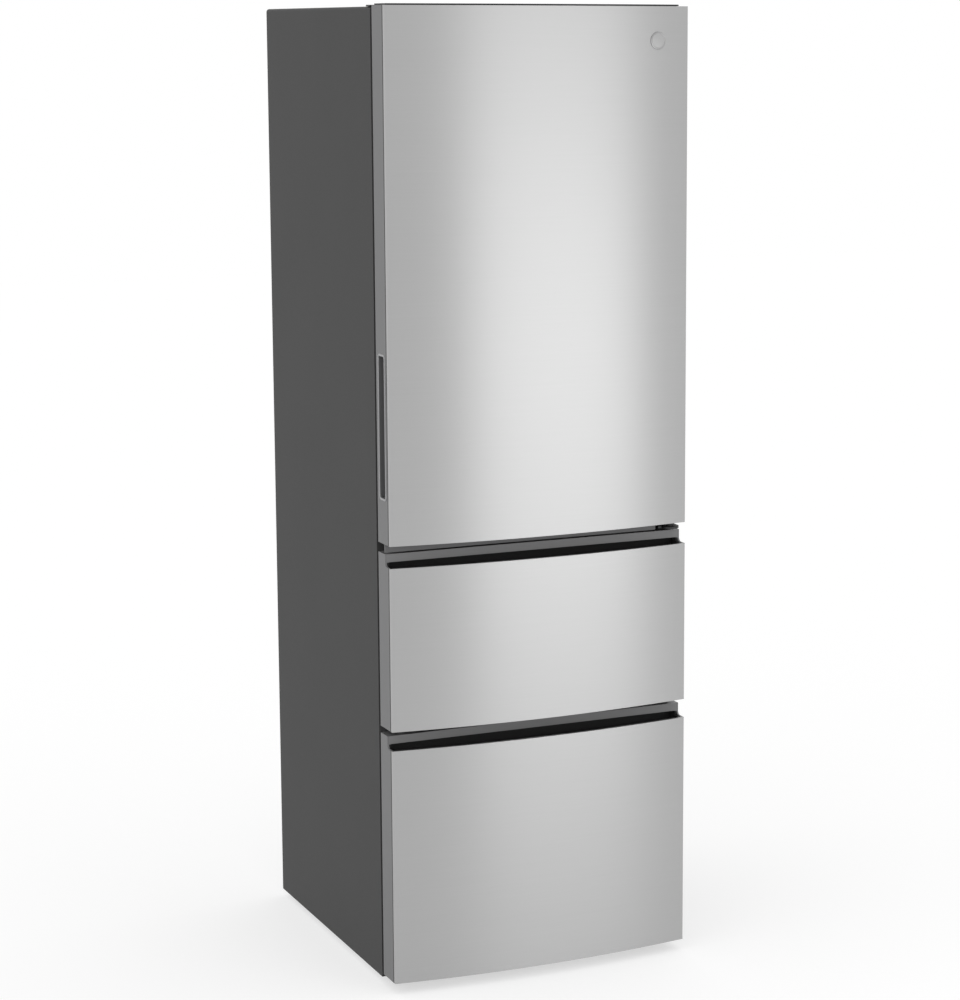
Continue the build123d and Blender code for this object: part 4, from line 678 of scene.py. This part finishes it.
# A plain pressed roundel near the door's top right corner, lying on the bowed sheet.
bow_radius, bow_front = 2110.7, -335.0
roundel_side, roundel_height, roundel_sides, roundel_smooth = 232.0, 1738.0, 64, 35.0
roundel = bmesh.new()
turn_rings(roundel, [
    (0, -0.4), (15.2, -0.4), (16.0, 0.1), (16.0, 0.7), (15.5, 1.4), (14.6, 1.7), (13.6, 1.4), (13.0, 0.7),
    (7.0, 0.85), (0, 0.9)], roundel_sides)
lean = math.asin(roundel_side / bow_radius)
sheet_depth = bow_front + bow_radius * (1 - math.cos(lean))
roundel_place = Matrix.Translation(Vector((roundel_side, sheet_depth, roundel_height)) * MM)
mesh = closed_mesh("door_roundel", roundel, roundel_smooth)
mesh.transform(roundel_place @ Matrix.Rotation(lean, 4, "Z") @ Matrix.Rotation(QUARTER_TURN, 4, "X"))
add_piece("door_roundel", mesh, "door", finishes["roundel_steel"])


# Floor, backdrop and light ---------------------------------------------------------------------

WHITE = paint("#FFFFFF")
FLOOR_REACH, FLOOR_GLOW = 14.0, 0.57
WORLD_LIGHT, WORLD_SEEN = 0.9, 1.0
LAMP_AIM = Vector((0, 0, 0.95))


def seen_directly(tree):
    """1 for what the camera, a gloss or clear glass sees, 0 for the light that falls on the object."""
    rays = add_node(tree, "ShaderNodeLightPath").outputs
    seen = rays["Is Camera Ray"]
    for other in (rays["Is Glossy Ray"], rays["Is Transmission Ray"]):
        seen = add_node(tree, "ShaderNodeMath", {"operation": "MAXIMUM"}, {0: seen, 1: other}).outputs[0]
    return seen


def soft_box(name, azimuth, distance, height, width, tall, power):
    """A soft box standing azimuth degrees right of the front's own axis, turned to the object."""
    data = bpy.data.lights.new(name, "AREA")
    data.shape = "RECTANGLE"
    data.size, data.size_y = width, tall
    data.energy = power
    lamp = bpy.data.objects.new(name, data)
    angle = math.radians(azimuth)
    lamp.location = (distance * math.sin(angle), -distance * math.cos(angle), height)
    lamp.rotation_euler = (LAMP_AIM - lamp.location).to_track_quat("-Z", "Y").to_euler()
    bpy.context.scene.collection.objects.link(lamp)


floor_mesh = bpy.data.meshes.new("studio_floor")
floor_mesh.from_pydata([
    (-FLOOR_REACH, -FLOOR_REACH, 0), (FLOOR_REACH, -FLOOR_REACH, 0),
    (FLOOR_REACH, FLOOR_REACH, 0), (-FLOOR_REACH, FLOOR_REACH, 0)], [], [(0, 1, 2, 3)])
floor = bpy.data.objects.new("studio_floor", floor_mesh)
bpy.context.scene.collection.objects.link(floor)

# Studio floor paint: a matte pale grey that keeps the object's shadow, lifted to white where it is seen.
floor_paint = bpy.data.materials.new("studio_floor_paint")
tree = emptied_tree(floor_paint)
flat = add_node(tree, "ShaderNodeBsdfDiffuse", inputs={"Color": paint("#B8B8B8")})
glow = add_node(tree, "ShaderNodeEmission", inputs={"Color": WHITE, "Strength": FLOOR_GLOW})
dark = add_node(tree, "ShaderNodeEmission", inputs={"Strength": 0.0})
lift = add_node(tree, "ShaderNodeMixShader", inputs={
    0: seen_directly(tree), 1: dark.outputs[0], 2: glow.outputs[0]})
total = add_node(tree, "ShaderNodeAddShader", inputs={0: flat.outputs[0], 1: lift.outputs[0]})
add_node(tree, "ShaderNodeOutputMaterial", inputs={"Surface": total.outputs[0]})
floor_mesh.materials.append(floor_paint)

# The world: soft even light from all round, and plain white where it is seen.
world = bpy.data.worlds.new("studio_world")
bpy.context.scene.world = world
tree = emptied_tree(world)
ambient = add_node(tree, "ShaderNodeBackground", inputs={"Color": WHITE, "Strength": WORLD_LIGHT})
backdrop = add_node(tree, "ShaderNodeBackground", inputs={"Color": WHITE, "Strength": WORLD_SEEN})
choice = add_node(tree, "ShaderNodeMixShader", inputs={
    0: seen_directly(tree), 1: ambient.outputs[0], 2: backdrop.outputs[0]})
add_node(tree, "ShaderNodeOutputWorld", inputs={"Surface": choice.outputs[0]})

# The key draws the highlight down the bowed sheet; the other fills the casing's left side.
soft_box("key_box", azimuth=23.5, distance=3.6, height=0.85, width=1.6, tall=1.15, power=16.0)
soft_box("side_box", azimuth=-52.0, distance=4.0, height=1.1, width=1.7, tall=1.5, power=8.0)
